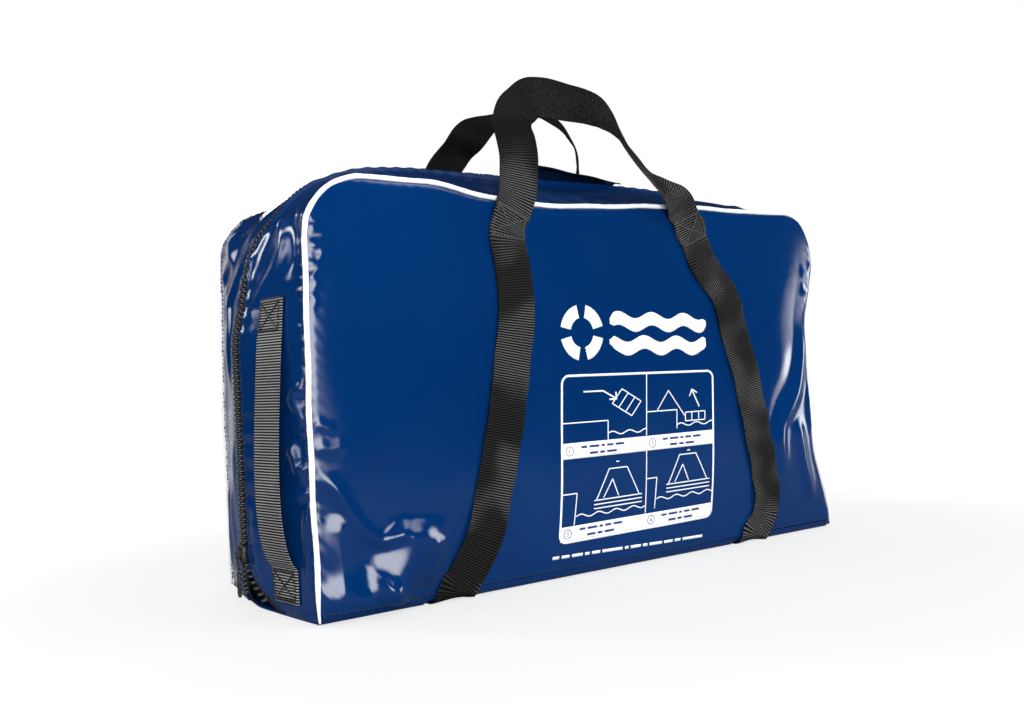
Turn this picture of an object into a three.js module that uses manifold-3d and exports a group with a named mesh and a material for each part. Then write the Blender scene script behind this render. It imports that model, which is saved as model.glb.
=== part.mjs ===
// A soft valise that holds a packed liferaft: two bulged panels with white piping, a gusset band
// closed by a moulded zip, a base, two webbing straps that become carry loops, and two end handles.
// Millimetres. Origin on the floor under the middle of the bag, +X to the right seen from the
// front, the front panel faces -Y, +Z up.
import * as THREE from "three";
import { mergeVertices } from "three/addons/utils/BufferGeometryUtils.js";
import Module from "manifold-3d";

const wasm = await Module();
wasm.setup();

// The bag
const LENGTH = 676; // between the piping of the two ends
const DEPTH = 230; // front piping to back piping
const HEIGHT = 385; // floor to the middle of the top piping
const CORNER_RADIUS = 57; // top corners, seen from the front
const FABRIC = 1.5; // coated cloth with its foam backing
const CLEARANCE = 0.3; // between two pieces that lie on each other
const PANEL_BULGE = 10; // how far the load pushes a big panel out
const BULGE_EDGE = 110; // width of the border where the bulge grows
const BASE_TURN = 9; // radius of the bottom edges
const CREST_SIDE = 24; // how far the zip crest stands out of the ends
const CREST_TOP = 41; // how far it stands out of the top
const PIPING = 5; // diameter

// Webbing
const WEBBING = 42;
const WEBBING_THICK = 1.8;
const STRAP_LEFT_TOP = -119; // where the strap's middle crosses the top edge
const STRAP_RIGHT_TOP = 108;
const STRAP_LEFT_BASE = -208; // and where it goes under the base
const STRAP_RIGHT_BASE = 194.5;
const STRAP_LIFT = 0.6; // webbing lies this far off the cloth
const END_HANDLE_TOP = 288;
const END_HANDLE_BOTTOM = 16;
const END_WEBBING = 38; // the end handles are cut from narrower webbing
const END_HANDLE_BOW = 11; // room behind an end handle while nobody lifts it
const END_HANDLE_SPAN = 8; // the right end is pinched in, so its handle stands off further
const END_HANDLE_SAG = 0.55; // under 1, the widest place of the bow lies below its middle
const END_HANDLE_INSET = 43; // its middle line at the foot, behind the front piping
const END_HANDLE_LEAN = 11; // and how much further back its top is
const END_HANDLE_LIFT = 0.8; // webbing over the rounded cloth
const END_HANDLE_SEWN = 32; // length of each sewn end

// Zip
const PITCH = 5; // one tooth of each side
const CHAIN_WIDTH = 10;
const CHAIN_RISE = 3; // teeth above the cloth
const TOOTH_DIP = 1.2; // valley between two teeth
const TAPE = 20; // width of one tape
const TAPE_THICK = 1.2;
const TAPE_GAP = 0.8; // gusset cloth to tape
const SLIT = 16; // between the two gusset edges
const ZIP_FOOT = 44; // height of the closed chain's lower end
const ZIP_STOP = 24; // height of its far end, at the other end of the bag
const SPLAY_FRONT = 42; // how far the open front row swings out at the floor
const SPLAY_BACK = 18;
const ROW_WIDTH = 4; // one row of open teeth

// Slider and pull
const SLIDER_LENGTH = 18;
const SLIDER_WALL = 2;
const RUNNING = 0.4; // slider to chain
const BRIDGE_LENGTH = 12;
const BRIDGE_RISE = 4.2;
const BRIDGE_BAR = 1.6;
const BRIDGE_WIDTH = 3;
const PULL_LENGTH = 38;
const PULL_WIDTH = 7;
const PULL_THICK = 2;
const PULL_EYE = 10; // inner length of the eye
const PULL_RAIL = 1.5; // sides and bar of the eye
const PULL_SLOT = 10;

// Cover flap on top of the zip
const FLAP_LEFT = -16;
const FLAP_RIGHT = 116;
const FLAP_FRONT = 10;
const FLAP_BACK = 44;
const FLAP_OVER = 3.5; // flap over the teeth
const FLAP_RISE = 14; // its free left corner stands this much over the teeth

// Packed raft inside
const RAFT_SLACK = 5;

const HALF_L = LENGTH / 2;
const HALF_D = DEPTH / 2;

// A smooth curve through points that never overshoots them.
function through(xs, ys) {
  const n = xs.length;
  const d = [];
  for (let i = 0; i < n - 1; i++) d.push((ys[i + 1] - ys[i]) / (xs[i + 1] - xs[i]));
  const m = xs.map((_, i) => {
    if (i === 0) return d[0];
    if (i === n - 1) return d[n - 2];
    return d[i - 1] * d[i] <= 0 ? 0 : (2 * d[i - 1] * d[i]) / (d[i - 1] + d[i]);
  });
  return (x) => {
    let i = 0;
    while (i < n - 2 && x > xs[i + 1]) i++;
    const h = xs[i + 1] - xs[i];
    const t = (x - xs[i]) / h;
    const a = (1 + 2 * t) * (1 - t) ** 2;
    const b = t * (1 - t) ** 2;
    const c = t * t * (3 - 2 * t);
    const e = t * t * (t - 1);
    return a * ys[i] + b * h * m[i] + c * ys[i + 1] + e * h * m[i + 1];
  };
}

const mix = (a, b, t) => a + (b - a) * t;
const steps = (a, b, n) => Array.from({ length: n + 1 }, (_, i) => mix(a, b, i / n));

// The edge of the bag, from the left bottom corner over the top to the right bottom corner. Each
// key holds its place on a plain rounded rectangle and how far the front piping, the zip crest and
// the back piping lie outside it.
const STRAIGHT_TOP = HEIGHT - CORNER_RADIUS;
const keys = [];
const key = (x, z, angle, front, crest, back) =>
  keys.push({ x, z, nx: Math.cos(angle), nz: Math.sin(angle), front, crest, back });
const side = (sign, height, front, crest, back) =>
  key(sign * HALF_L, height, sign < 0 ? Math.PI : 0, front, crest, back);
const corner = (sign, turn, front, crest, back) => {
  const a = sign < 0 ? Math.PI - turn : turn;
  const reach = HALF_L - CORNER_RADIUS;
  key(sign * reach + CORNER_RADIUS * Math.cos(a), STRAIGHT_TOP + CORNER_RADIUS * Math.sin(a),
    a, front, crest, back);
};
const top = (share, front, crest, back) =>
  key(share * (HALF_L - CORNER_RADIUS), HEIGHT, Math.PI / 2, front, crest, back);
const QUARTER = Math.PI / 2;

side(-1, 0, 0, CREST_SIDE - 10, 0);
side(-1, 14, 0.5, CREST_SIDE - 2, 0);
side(-1, 30, 0.5, CREST_SIDE, 0);
side(-1, HEIGHT * 0.26, 1.5, CREST_SIDE, 0);
side(-1, HEIGHT * 0.44, 1, CREST_SIDE, 0);
side(-1, HEIGHT * 0.63, 0, CREST_SIDE, -1);
side(-1, HEIGHT * 0.75, -1, CREST_SIDE - 9, -2);
corner(-1, 0, -2, CREST_SIDE - 18, -2);
corner(-1, QUARTER * 0.25, 0, 1, 1);
corner(-1, QUARTER * 0.5, 3, -2, 5);
corner(-1, QUARTER * 0.75, 5.5, 4, 8);
corner(-1, QUARTER, 7, CREST_TOP - 23, 9);
top(-0.78, 7, CREST_TOP - 3, 9);
top(-0.54, -3, CREST_TOP + 1, 6);
top(-0.27, -8, CREST_TOP + 1, 4);
top(-0.02, -6, CREST_TOP, 4);
top(0.23, -2, CREST_TOP, 4);
top(0.5, 0, CREST_TOP - 1, 5);
top(0.75, -1, CREST_TOP - 6, 6);
corner(1, QUARTER, 1, CREST_TOP - 23, 7);
corner(1, QUARTER * 0.75, -1, 4, 6);
corner(1, QUARTER * 0.5, -6, -2, 4);
corner(1, QUARTER * 0.25, -9, 1, 1);
corner(1, 0, -10, CREST_SIDE - 18, -2);
side(1, HEIGHT * 0.75, -18, CREST_SIDE - 9, -4);
side(1, HEIGHT * 0.63, -26, CREST_SIDE, -6);
side(1, HEIGHT * 0.44, -25, CREST_SIDE, -6);
side(1, HEIGHT * 0.26, -21, CREST_SIDE, -5);
side(1, 34, -3, CREST_SIDE, -1);
side(1, 14, 0, CREST_SIDE - 2, 0);
side(1, 0, 0, CREST_SIDE - 10, 0);

const along = [0];
for (let i = 1; i < keys.length; i++)
  along.push(along[i - 1] + Math.hypot(keys[i].x - keys[i - 1].x, keys[i].z - keys[i - 1].z));
const EDGE_LENGTH = along[along.length - 1];
const edge = (out) => {
  const x = through(along, keys.map((k) => k.x + k.nx * k[out]));
  const z = through(along, keys.map((k) => k.z + k.nz * k[out]));
  return (s) => [x(s), z(s)];
};
const front = edge("front");
const crest = edge("crest");
const back = edge("back");
const normalX = through(along, keys.map((k) => k.nx));
const normalZ = through(along, keys.map((k) => k.nz));

// A point of the gusset: s along the edge, y across, off outwards of the cloth.
function gusset(s, y, off = 0) {
  const t = Math.max(0, 1 - Math.abs(y) / HALF_D);
  const g = t + 0.25 * t * (1 - t);
  const [ex, ez] = (y < 0 ? front : back)(s);
  const [cx, cz] = crest(s);
  const n = Math.hypot(normalX(s), normalZ(s));
  return new THREE.Vector3(
    mix(ex, cx, g) + (off * normalX(s)) / n, y, mix(ez, cz, g) + (off * normalZ(s)) / n);
}

// Where on the edge the gusset reaches a height (sign -1 left, 1 right) or a length.
function seek(f, want, lo, hi) {
  const up = f(hi) > f(lo);
  for (let i = 0; i < 50; i++) {
    const mid = (lo + hi) / 2;
    if (f(mid) < want === up) lo = mid;
    else hi = mid;
  }
  return (lo + hi) / 2;
}
const LEFT_END = along[7];
const RIGHT_START = along[23];
const atHeight = (sign, z, y = 0) =>
  sign < 0 ? seek((s) => gusset(s, y).z, z, 0, LEFT_END)
    : seek((s) => gusset(s, y).z, z, RIGHT_START, EDGE_LENGTH);
const topAt = (curve, x) => curve(seek((s) => curve(s)[0], x, along[9], along[21]))[1];

// A big panel's cloth: how far it bulges at a point.
function bulge(curve, x, z) {
  const rise = (d) => 1 - (1 - Math.min(Math.max(d / BULGE_EDGE, 0), 1)) ** 2;
  const sign = x < 0 ? -1 : 1;
  const zz = Math.min(Math.max(z, 0), STRAIGHT_TOP);
  const s = sign < 0 ? seek((v) => curve(v)[1], zz, 0, LEFT_END)
    : seek((v) => curve(v)[1], zz, RIGHT_START, EDGE_LENGTH);
  const reach = sign * (curve(s)[0] - x);
  const limit = HALF_L - CORNER_RADIUS;
  const roof = topAt(curve, Math.max(-limit, Math.min(limit, x)));
  return PANEL_BULGE * rise(reach) * rise(z - BASE_TURN) * rise(roof - z);
}

// Geometry from a list of points and triangles, turned so that its faces point out.
function closed(points, triangles) {
  let volume = 0;
  const v = (i) => points[i];
  for (const [a, b, c] of triangles) volume += v(a).dot(v(b).clone().cross(v(c)));
  const faces = volume < 0 ? triangles.map(([a, b, c]) => [a, c, b]) : triangles;
  const geometry = new THREE.BufferGeometry();
  geometry.setAttribute("position",
    new THREE.Float32BufferAttribute(points.flatMap((p) => [p.x, p.y, p.z]), 3));
  geometry.setIndex(faces.flat());
  geometry.computeVertexNormals();
  return geometry;
}

// A bent plate: outer[i][j] and inner[i][j] are the two faces of one grid.
function plate(outer, inner) {
  const n = outer.length;
  const m = outer[0].length;
  const points = [...outer.flat(), ...inner.flat()];
  const o = (i, j) => i * m + j;
  const u = (i, j) => n * m + i * m + j;
  const tris = [];
  const quad = (a, b, c, d) => tris.push([a, b, c], [a, c, d]);
  for (let i = 0; i < n - 1; i++)
    for (let j = 0; j < m - 1; j++) {
      quad(o(i, j), o(i + 1, j), o(i + 1, j + 1), o(i, j + 1));
      quad(u(i, j), u(i, j + 1), u(i + 1, j + 1), u(i + 1, j));
    }
  for (let i = 0; i < n - 1; i++) {
    quad(o(i, 0), u(i, 0), u(i + 1, 0), o(i + 1, 0));
    quad(o(i, m - 1), o(i + 1, m - 1), u(i + 1, m - 1), u(i, m - 1));
  }
  for (let j = 0; j < m - 1; j++) {
    quad(o(0, j), o(0, j + 1), u(0, j + 1), u(0, j));
    quad(o(n - 1, j), u(n - 1, j), u(n - 1, j + 1), o(n - 1, j + 1));
  }
  return closed(points, tris);
}

// A bar through equal loops of points, closed at both ends.
function loft(loops) {
  const m = loops[0].length;
  const points = loops.flat();
  const tris = [];
  for (let i = 0; i < loops.length - 1; i++)
    for (let j = 0; j < m; j++) {
      const a = i * m + j;
      const b = i * m + ((j + 1) % m);
      tris.push([a, b, b + m], [a, b + m, a + m]);
    }
  const last = (loops.length - 1) * m;
  for (let j = 1; j < m - 1; j++) {
    tris.push([0, j + 1, j]);
    tris.push([last, last + j, last + j + 1]);
  }
  return closed(points, tris);
}

// Webbing between two edges, one list of points each, kept at its real width.
function webbing(left, right, width = WEBBING) {
  const mid = left.map((p, i) => p.clone().add(right[i]).multiplyScalar(0.5));
  const outer = [];
  const inner = [];
  mid.forEach((p, i) => {
    const across = right[i].clone().sub(left[i]).normalize();
    const run = mid[Math.min(i + 1, mid.length - 1)].clone().sub(mid[Math.max(i - 1, 0)]);
    const face = across.clone().cross(run).normalize();
    const at = (w, t) => p.clone().addScaledVector(across, w).addScaledVector(face, t);
    outer.push([at(-width / 2, WEBBING_THICK / 2), at(width / 2, WEBBING_THICK / 2)]);
    inner.push([at(-width / 2, -WEBBING_THICK / 2), at(width / 2, -WEBBING_THICK / 2)]);
  });
  return plate(outer, inner);
}

const box = (x0, x1, y0, y1, z0, z1) =>
  new THREE.BoxGeometry(x1 - x0, y1 - y0, z1 - z0)
    .translate((x0 + x1) / 2, (y0 + y1) / 2, (z0 + z1) / 2);

function solid(geometry) {
  const g = geometry.clone();
  g.deleteAttribute("normal");
  g.deleteAttribute("uv");
  const m = mergeVertices(g, 1e-4);
  return new wasm.Manifold(new wasm.Mesh({
    numProp: 3,
    vertProperties: new Float32Array(m.attributes.position.array),
    triVerts: new Uint32Array(m.index.array),
  }));
}

function fromSolid(s) {
  const mesh = s.getMesh();
  const geometry = new THREE.BufferGeometry();
  geometry.setAttribute("position", new THREE.BufferAttribute(mesh.vertProperties, 3));
  geometry.setIndex(new THREE.BufferAttribute(mesh.triVerts, 1));
  geometry.computeVertexNormals();
  return geometry;
}

const cloth = new THREE.MeshStandardMaterial({ color: 0x0a3a78, roughness: 0.35, side: 2 });
const white = new THREE.MeshStandardMaterial({ color: 0xf2f2f0, roughness: 0.4 });
const black = new THREE.MeshStandardMaterial({ color: 0x141416, roughness: 0.7 });
const teeth = new THREE.MeshStandardMaterial({ color: 0x1a1a1c, roughness: 0.35 });
const metal = new THREE.MeshStandardMaterial({ color: 0x2a2a2c, roughness: 0.4, metalness: 0.8 });
const orange = new THREE.MeshStandardMaterial({ color: 0x9a3a1a, roughness: 0.8 });

const valise = new THREE.Group();
const add = (name, geometry, material, parent = valise) => {
  const mesh = new THREE.Mesh(geometry, material);
  mesh.name = name;
  parent.add(mesh);
  return mesh;
};

// Piping: a cord in a white sleeve, which thins out at its two lower ends
const PIPE_SIDES = 8;
const edgeStations = keys.slice(1).flatMap((_, i) => {
  const pinched = i >= 23; // the right end is the more curved one
  const n = Math.max(1, Math.round((along[i + 1] - along[i]) / (pinched ? 15 : 34)));
  return steps(along[i], along[i + 1], n).slice(i ? 1 : 0);
});
const HEM = 3; // the lower ends of the gusset and piping, above the floor
const pipeStations = edgeStations.map((s) => Math.max(HEM, Math.min(EDGE_LENGTH - HEM, s)));
function piping(curve, y) {
  const loops = [...new Set(pipeStations)].map((s) => {
    const end = Math.min(s, EDGE_LENGTH - s);
    const r = (PIPING / 2) * (end < 12 ? 0.55 : 1);
    const n = Math.hypot(normalX(s), normalZ(s));
    const [x, z] = curve(s);
    return Array.from({ length: PIPE_SIDES }, (_, j) => {
      const a = (2 * Math.PI * j) / PIPE_SIDES;
      const out = (r * Math.cos(a)) / n;
      return new THREE.Vector3(x + out * normalX(s), y + r * Math.sin(a), z + out * normalZ(s));
    });
  });
  return loft(loops);
}
add("front_piping", piping(front, -HALF_D), white);
add("back_piping", piping(back, HALF_D), white);

// Front and back panels: rings of points from the piping in to a level middle line
const SEAM_INSET = PIPING / 2 + CLEARANCE;
const SEAM_FOOT = BASE_TURN + CLEARANCE;
function panel(curve, sign) {
  const lo = seek((s) => curve(s)[1], SEAM_FOOT, 0, LEFT_END);
  const hi = seek((s) => curve(s)[1], SEAM_FOOT, RIGHT_START, EDGE_LENGTH);
  const rim = [lo, ...edgeStations.filter((s) => s > lo + 6 && s < hi - 6), hi].map((s) => {
    const n = Math.hypot(normalX(s), normalZ(s));
    const [x, z] = curve(s);
    return new THREE.Vector2(
      x - (SEAM_INSET * normalX(s)) / n, z - (SEAM_INSET * normalZ(s)) / n);
  });
  const right = rim[rim.length - 1].x;
  steps(right, rim[0].x, 14).slice(1, -1).forEach((x) => rim.push(new THREE.Vector2(x, SEAM_FOOT)));
  const rings = [1, 0.9, 0.75, 0.45].map((k) => rim.map((p) => {
    const spine = Math.max(-HALF_L / 2, Math.min(HALF_L / 2, p.x));
    return new THREE.Vector2(mix(spine, p.x, k), mix(HEIGHT / 2, p.y, k));
  }));
  const n = rim.length;
  const points = [];
  for (const face of [1, -1])
    for (const ring of rings)
      for (const p of ring)
        points.push(new THREE.Vector3(
          p.x, sign * (HALF_D + bulge(curve, p.x, p.y) + (face * FABRIC) / 2), p.y));
  const tris = [];
  const layer = n * rings.length;
  for (let k = 0; k < rings.length - 1; k++)
    for (let i = 0; i < n; i++) {
      const [a, b] = [k * n + i, k * n + ((i + 1) % n)];
      tris.push([a, b, b + n], [a, b + n, a + n]);
      tris.push([a + layer, b + n + layer, b + layer], [a + layer, a + n + layer, b + n + layer]);
    }
  const start = (rings.length - 1) * n;
  let fill = THREE.ShapeUtils.triangulateShape(rings[rings.length - 1], []);
  // ring i, i + 1 leaves the last band as b + n, a + n, so the middle runs the same way
  const area = THREE.ShapeUtils.area(rings[rings.length - 1]);
  const tri = fill[0];
  const r = rings[rings.length - 1];
  const turn = (r[tri[1]].x - r[tri[0]].x) * (r[tri[2]].y - r[tri[0]].y) -
    (r[tri[2]].x - r[tri[0]].x) * (r[tri[1]].y - r[tri[0]].y);
  if (turn * area < 0) fill = fill.map(([a, b, c]) => [a, c, b]);
  for (const [a, b, c] of fill) {
    tris.push([start + a, start + b, start + c]);
    tris.push([start + layer + a, start + layer + c, start + layer + b]);
  }
  for (let i = 0; i < n; i++) {
    const j = (i + 1) % n;
    tris.push([i, j + layer, j], [i, i + layer, j + layer]);
  }
  return closed(points, tris);
}
add("front_panel", panel(front, -1), cloth);
add("back_panel", panel(back, 1), cloth);

// The two halves of the gusset, from the piping to the zip. Below the slider the zip is open, and
// its two sides swing apart.
const splay = (s, reach) => {
  const z = s < along[4] ? gusset(s, 0).z : Infinity;
  const t = Math.min(Math.max(1 - z / ZIP_FOOT, 0), 1);
  return reach * t ** 1.3;
};
const FRONT_LIP = 14; // more of the front tape shows where it is open
const seamY = (s, sign) =>
  sign * (SLIT / 2 + splay(s, sign < 0 ? SPLAY_FRONT + FRONT_LIP : SPLAY_BACK));
const hemStations = [...new Set([
  ...edgeStations.filter((s) => s > HEM && s < EDGE_LENGTH - HEM), HEM, EDGE_LENGTH - HEM,
  ...steps(HEM * 1.5, ZIP_FOOT, 5).map((z) => atHeight(-1, z))])]
  .sort((a, b) => a - b);
function gussetHalf(sign) {
  const face = (off) => hemStations.map((s) =>
    [0, 0.12, 0.4, 0.72, 1].map((t) =>
      gusset(s, mix(sign * (HALF_D - SEAM_INSET), seamY(s, sign), t), off)));
  return plate(face(0), face(-FABRIC));
}
add("front_gusset", gussetHalf(-1), cloth);
add("back_gusset", gussetHalf(1), cloth);

// Zip tapes, under the gusset edges
const tapeOut = -FABRIC - TAPE_GAP;
function tape(sign) {
  const face = (off) => hemStations.map((s) => {
    const inner = sign * (CLEARANCE / 2 + splay(s, sign < 0 ? SPLAY_FRONT : SPLAY_BACK));
    return [gusset(s, inner, off), gusset(s, inner + sign * TAPE / 2, off),
      gusset(s, inner + sign * TAPE, off)];
  });
  return plate(face(tapeOut), face(tapeOut - TAPE_THICK));
}
add("zip_tape_front", tape(-1), black);
add("zip_tape_back", tape(1), black);

// Closed teeth, a ribbed bar from the slider round to the stop
const CHAIN_FOOT = tapeOut + CLEARANCE;
const crestTable = steps(0, EDGE_LENGTH, 900);
const crestRun = [0];
crestTable.slice(1).forEach((s, i) => {
  const [x, z] = crest(s);
  const [px, pz] = crest(crestTable[i]);
  crestRun.push(crestRun[i] + Math.hypot(x - px, z - pz));
});
const runAt = through(crestTable, crestRun);
const stationAtRun = (run) => seek(runAt, run, 0, EDGE_LENGTH);
const chainStart = runAt(atHeight(-1, ZIP_FOOT));
const chainEnd = runAt(atHeight(1, ZIP_STOP));
const teethCount = Math.floor((chainEnd - chainStart) / PITCH);
function ribs(place, count, start, width) {
  const loops = [];
  for (let i = 0; i <= count * 2; i++) {
    const s = stationAtRun(start + (i * PITCH) / 2);
    const valley = i % 2 ? 0 : TOOTH_DIP;
    const w = width / 2 - (valley * 0.6);
    const y = place(s);
    const point = (dy, off) => {
      const p = gusset(s, 0, off);
      return new THREE.Vector3(p.x, y + dy, p.z);
    };
    loops.push([point(-w, CHAIN_FOOT), point(w, CHAIN_FOOT),
      point(w, CHAIN_RISE - valley), point(-w, CHAIN_RISE - valley)]);
  }
  return loft(loops);
}
add("zip_chain", ribs(() => 0, teethCount, chainStart, CHAIN_WIDTH), teeth);

// Open teeth, one short row on each tape
const rowTeeth = Math.floor((chainStart - runAt(HEM) - 2) / PITCH);
const rowStart = chainStart - CLEARANCE - rowTeeth * PITCH;
const rowPlace = (sign, reach) => (s) => sign * (ROW_WIDTH / 2 + 0.8 + splay(s, reach));
function row(sign, reach) {
  const loops = [];
  for (let i = 0; i <= rowTeeth * 2; i++) {
    const s = stationAtRun(rowStart + (i * PITCH) / 2);
    const valley = i % 2 ? 0 : TOOTH_DIP;
    const y = rowPlace(sign, reach)(s);
    const w = ROW_WIDTH / 2;
    loops.push([gusset(s, y - w, CHAIN_FOOT), gusset(s, y + w, CHAIN_FOOT),
      gusset(s, y + w, CHAIN_RISE - valley), gusset(s, y - w, CHAIN_RISE - valley)]);
  }
  return loft(loops);
}
add("zip_row_front", row(-1, SPLAY_FRONT), teeth);
add("zip_row_back", row(1, SPLAY_BACK), teeth);

// Slider: a saddle over the teeth with a bridge for its pull
const trackX = -(HALF_L + CREST_SIDE);
const outOf = (d) => trackX - d;
const sliderZ = ZIP_FOOT;
const sliderTop = sliderZ + SLIDER_LENGTH;
const saddleTop = CHAIN_RISE + RUNNING + SLIDER_WALL;
const saddleHalf = CHAIN_WIDTH / 2 + RUNNING + SLIDER_WALL;
const bridgeFoot = sliderZ + (SLIDER_LENGTH - BRIDGE_LENGTH) / 2;
const slider = new THREE.Group();
valise.add(slider);
const saddle = solid(box(outOf(saddleTop), outOf(tapeOut + RUNNING), -saddleHalf, saddleHalf,
  sliderZ, sliderTop))
  .subtract(solid(box(outOf(CHAIN_RISE + RUNNING), outOf(tapeOut), -saddleHalf + SLIDER_WALL,
    saddleHalf - SLIDER_WALL, sliderZ - 1, sliderTop + 1)));
const bridge = solid(box(outOf(saddleTop + BRIDGE_RISE), outOf(saddleTop - 0.5),
  -BRIDGE_WIDTH / 2, BRIDGE_WIDTH / 2, bridgeFoot, bridgeFoot + BRIDGE_LENGTH))
  .subtract(solid(box(outOf(saddleTop + BRIDGE_RISE - BRIDGE_BAR), outOf(saddleTop),
    -BRIDGE_WIDTH, BRIDGE_WIDTH, bridgeFoot + BRIDGE_BAR,
    bridgeFoot + BRIDGE_LENGTH - BRIDGE_BAR)));
add("zip_slider", fromSolid(saddle.add(bridge)), metal, slider);

// Pull: a flat tab that hangs by its eye
const pinOut = saddleTop + (BRIDGE_RISE - BRIDGE_BAR) / 2;
const pinZ = bridgeFoot + BRIDGE_BAR + PULL_RAIL / 2 + CLEARANCE;
const pullTop = pinZ + PULL_RAIL / 2;
const eyeFoot = pullTop - PULL_RAIL - PULL_EYE;
const slab = (out, half, z0, z1) =>
  box(outOf(pinOut + out / 2), outOf(pinOut - out / 2), -half, half, z0, z1);
const EYE_HALF = BRIDGE_WIDTH / 2 + CLEARANCE * 2 + PULL_RAIL;
const pull = new THREE.Group();
slider.add(pull);
const eye = solid(slab(PULL_RAIL, EYE_HALF, eyeFoot - 2, pullTop))
  .subtract(solid(slab(PULL_RAIL * 2, EYE_HALF - PULL_RAIL, eyeFoot, pullTop - PULL_RAIL)));
const tab = solid(slab(PULL_THICK, PULL_WIDTH / 2, pullTop - PULL_LENGTH, eyeFoot - 1));
const slotFoot = pullTop - PULL_LENGTH + PULL_RAIL * 1.3;
const slot = solid(slab(PULL_THICK * 2, PULL_WIDTH / 2 - 2, slotFoot, slotFoot + PULL_SLOT));
add("zip_pull", fromSolid(eye.add(tab).subtract(slot)), metal, pull);

// Base: one sheet that turns up at the front and back, raised a little over the two straps
const STRAP_RELIEF = WEBBING_THICK + CLEARANCE;
const RELIEF_EDGE = 3;
const reliefs = [STRAP_LEFT_BASE, STRAP_RIGHT_BASE];
const relief = (x) => Math.max(...reliefs.map((c) => {
  const d = Math.abs(x - c) - (WEBBING / 2 + 2);
  return Math.min(Math.max(1 - d / RELIEF_EDGE, 0), 1);
})) * STRAP_RELIEF;
const FLAT_HALF = HALF_D - BASE_TURN;
function baseSection(x, inward) {
  const points = [];
  const turn = (sign) => steps(0, 1, 5).map((t) => {
    const a = t * QUARTER;
    const radius = BASE_TURN - relief(x) * Math.cos(a) ** 2 - inward;
    return [sign * (FLAT_HALF + radius * Math.sin(a)), BASE_TURN - radius * Math.cos(a)];
  });
  points.push(...turn(-1).reverse(), [0, relief(x) + inward], ...turn(1));
  return points;
}
const reliefEdges = reliefs.flatMap((c) => [-1, 1].flatMap((k) =>
  [c + k * (WEBBING / 2 + 2), c + k * (WEBBING / 2 + 2 + RELIEF_EDGE)]));
const baseX = [-HALF_L, HALF_L, ...reliefEdges].sort((a, b) => a - b);
function baseFace(inward) {
  return baseX.map((x) => baseSection(x, inward).map(([y, z]) => {
    if (Math.abs(x) < HALF_L) return new THREE.Vector3(x, y, z);
    const sign = Math.sign(x);
    const s = sign < 0 ? HEM : EDGE_LENGTH - HEM;
    const yy = Math.max(-HALF_D + SEAM_INSET, Math.min(HALF_D - SEAM_INSET, y));
    const end = Math.abs(y) > HALF_D - SEAM_INSET - FABRIC
      ? gusset(s, yy).x - sign * (SEAM_INSET + PIPING / 2)
      : gusset(s, yy, -FABRIC - CLEARANCE - TAPE_THICK - CLEARANCE - 0.2).x;
    return new THREE.Vector3(end, y, z);
  }));
}
add("base_panel", plate(baseFace(0), baseFace(FABRIC)), cloth);

// A strap's way: under the base, round the bottom edge, up the panel, the carry loop, and down.
// Loop rows: share of the way from the left to the right leg, distance from the panel, height over
// the top edge, for the outer and for the inner edge of the webbing.
const loopFront = [
  [-132, 2, 16, -91, 6, 30], [-130, 1, 36, -89, 6, 47], [-132, -2, 55, -89, 4, 64],
  [-132, -6, 75, -88, 0, 78], [-124, -8, 93, -86, -4, 85], [-104, -11, 110, -86, -5, 85],
  [-84, -12, 127, -82, -8, 86], [-65, -12, 130, -68, -12, 88], [-46, -12, 129, -54, -10, 88],
  [-23, -14, 128, -37, -8, 88], [-4, -14, 125, -20, -6, 87], [14, -14, 119, -6, -3, 83],
  [27, -16, 108, 2, 2, 78], [37, -17, 94, 9, 6, 74], [44, -17, 82, 15, 9, 69],
  [50, -16, 71, 19, 12, 60], [56, -13, 61, 25, 13, 51], [67, -10, 48, 34, 15, 39],
  [81, -6, 36, 47, 15, 29], [98, 0, 25, 60, 12, 21], [111, 4, 15, 68, 10, 13]];
const loopBack = [
  [-112, 2, 25, -64, 2, 25], [-97, 1, 50, -45, 1, 50],
  [-86, 1, 75, -28, 1, 77], [-68, -1, 98, -12, -3, 98], [-52, -4, 118, -5, -15, 111],
  [-30, -1, 135, 2, -23, 124], [-4, 5, 150, 17, -27, 139], [31, 11, 162, 37, -29, 147],
  [60, 15, 170, 57, -27, 150], [93, 16, 174, 84, -23, 148], [121, 15, 170, 112, -19, 138],
  [143, 14, 158, 131, -17, 126], [154, 13, 144, 136, -18, 113], [162, 13, 126, 136, -20, 102],
  [166, 13, 104, 133, -23, 91], [166, 12, 79, 126, -24, 80], [162, 8, 50, 114, -10, 48],
  [150, 4, 22, 100, 2, 20]];
const LOOP_LEFT = -119; // the legs' own middle lines in the two tables
const LOOP_RIGHT = 108;
const STRAP_Z0 = 14; // height where the strap meets the panel
const climb = {
  left: [[STRAP_Z0, 0.107], [35, 0.253], [61, 0.393], [88, 0.483], [143, 0.64], [199, 0.781],
    [256, 0.893], [285, 0.916], [314, 0.893], [337, 0.865], [356, 0.91]],
  right: [[STRAP_Z0, -0.118], [33, -0.237], [50, -0.26], [67, -0.237], [102, -0.156],
    [120, -0.098], [155, -0.012], [189, 0.064], [224, 0.197], [258, 0.318], [275, 0.376],
    [291, 0.457], [308, 0.63], [324, 0.775], [342, 0.838], [364, 0.954]],
};
const TOP_LEVEL = 374; // the level where those heights end, on the bag as it is drawn
const RIM_DROP = 11; // the webbing leaves the panel this far under the top edge
const climbing = (rows, base, topX) => through(
  [...rows.map((r) => r[0]), TOP_LEVEL], [...rows.map((r) => mix(base, topX, r[1])), topX]);
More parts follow.
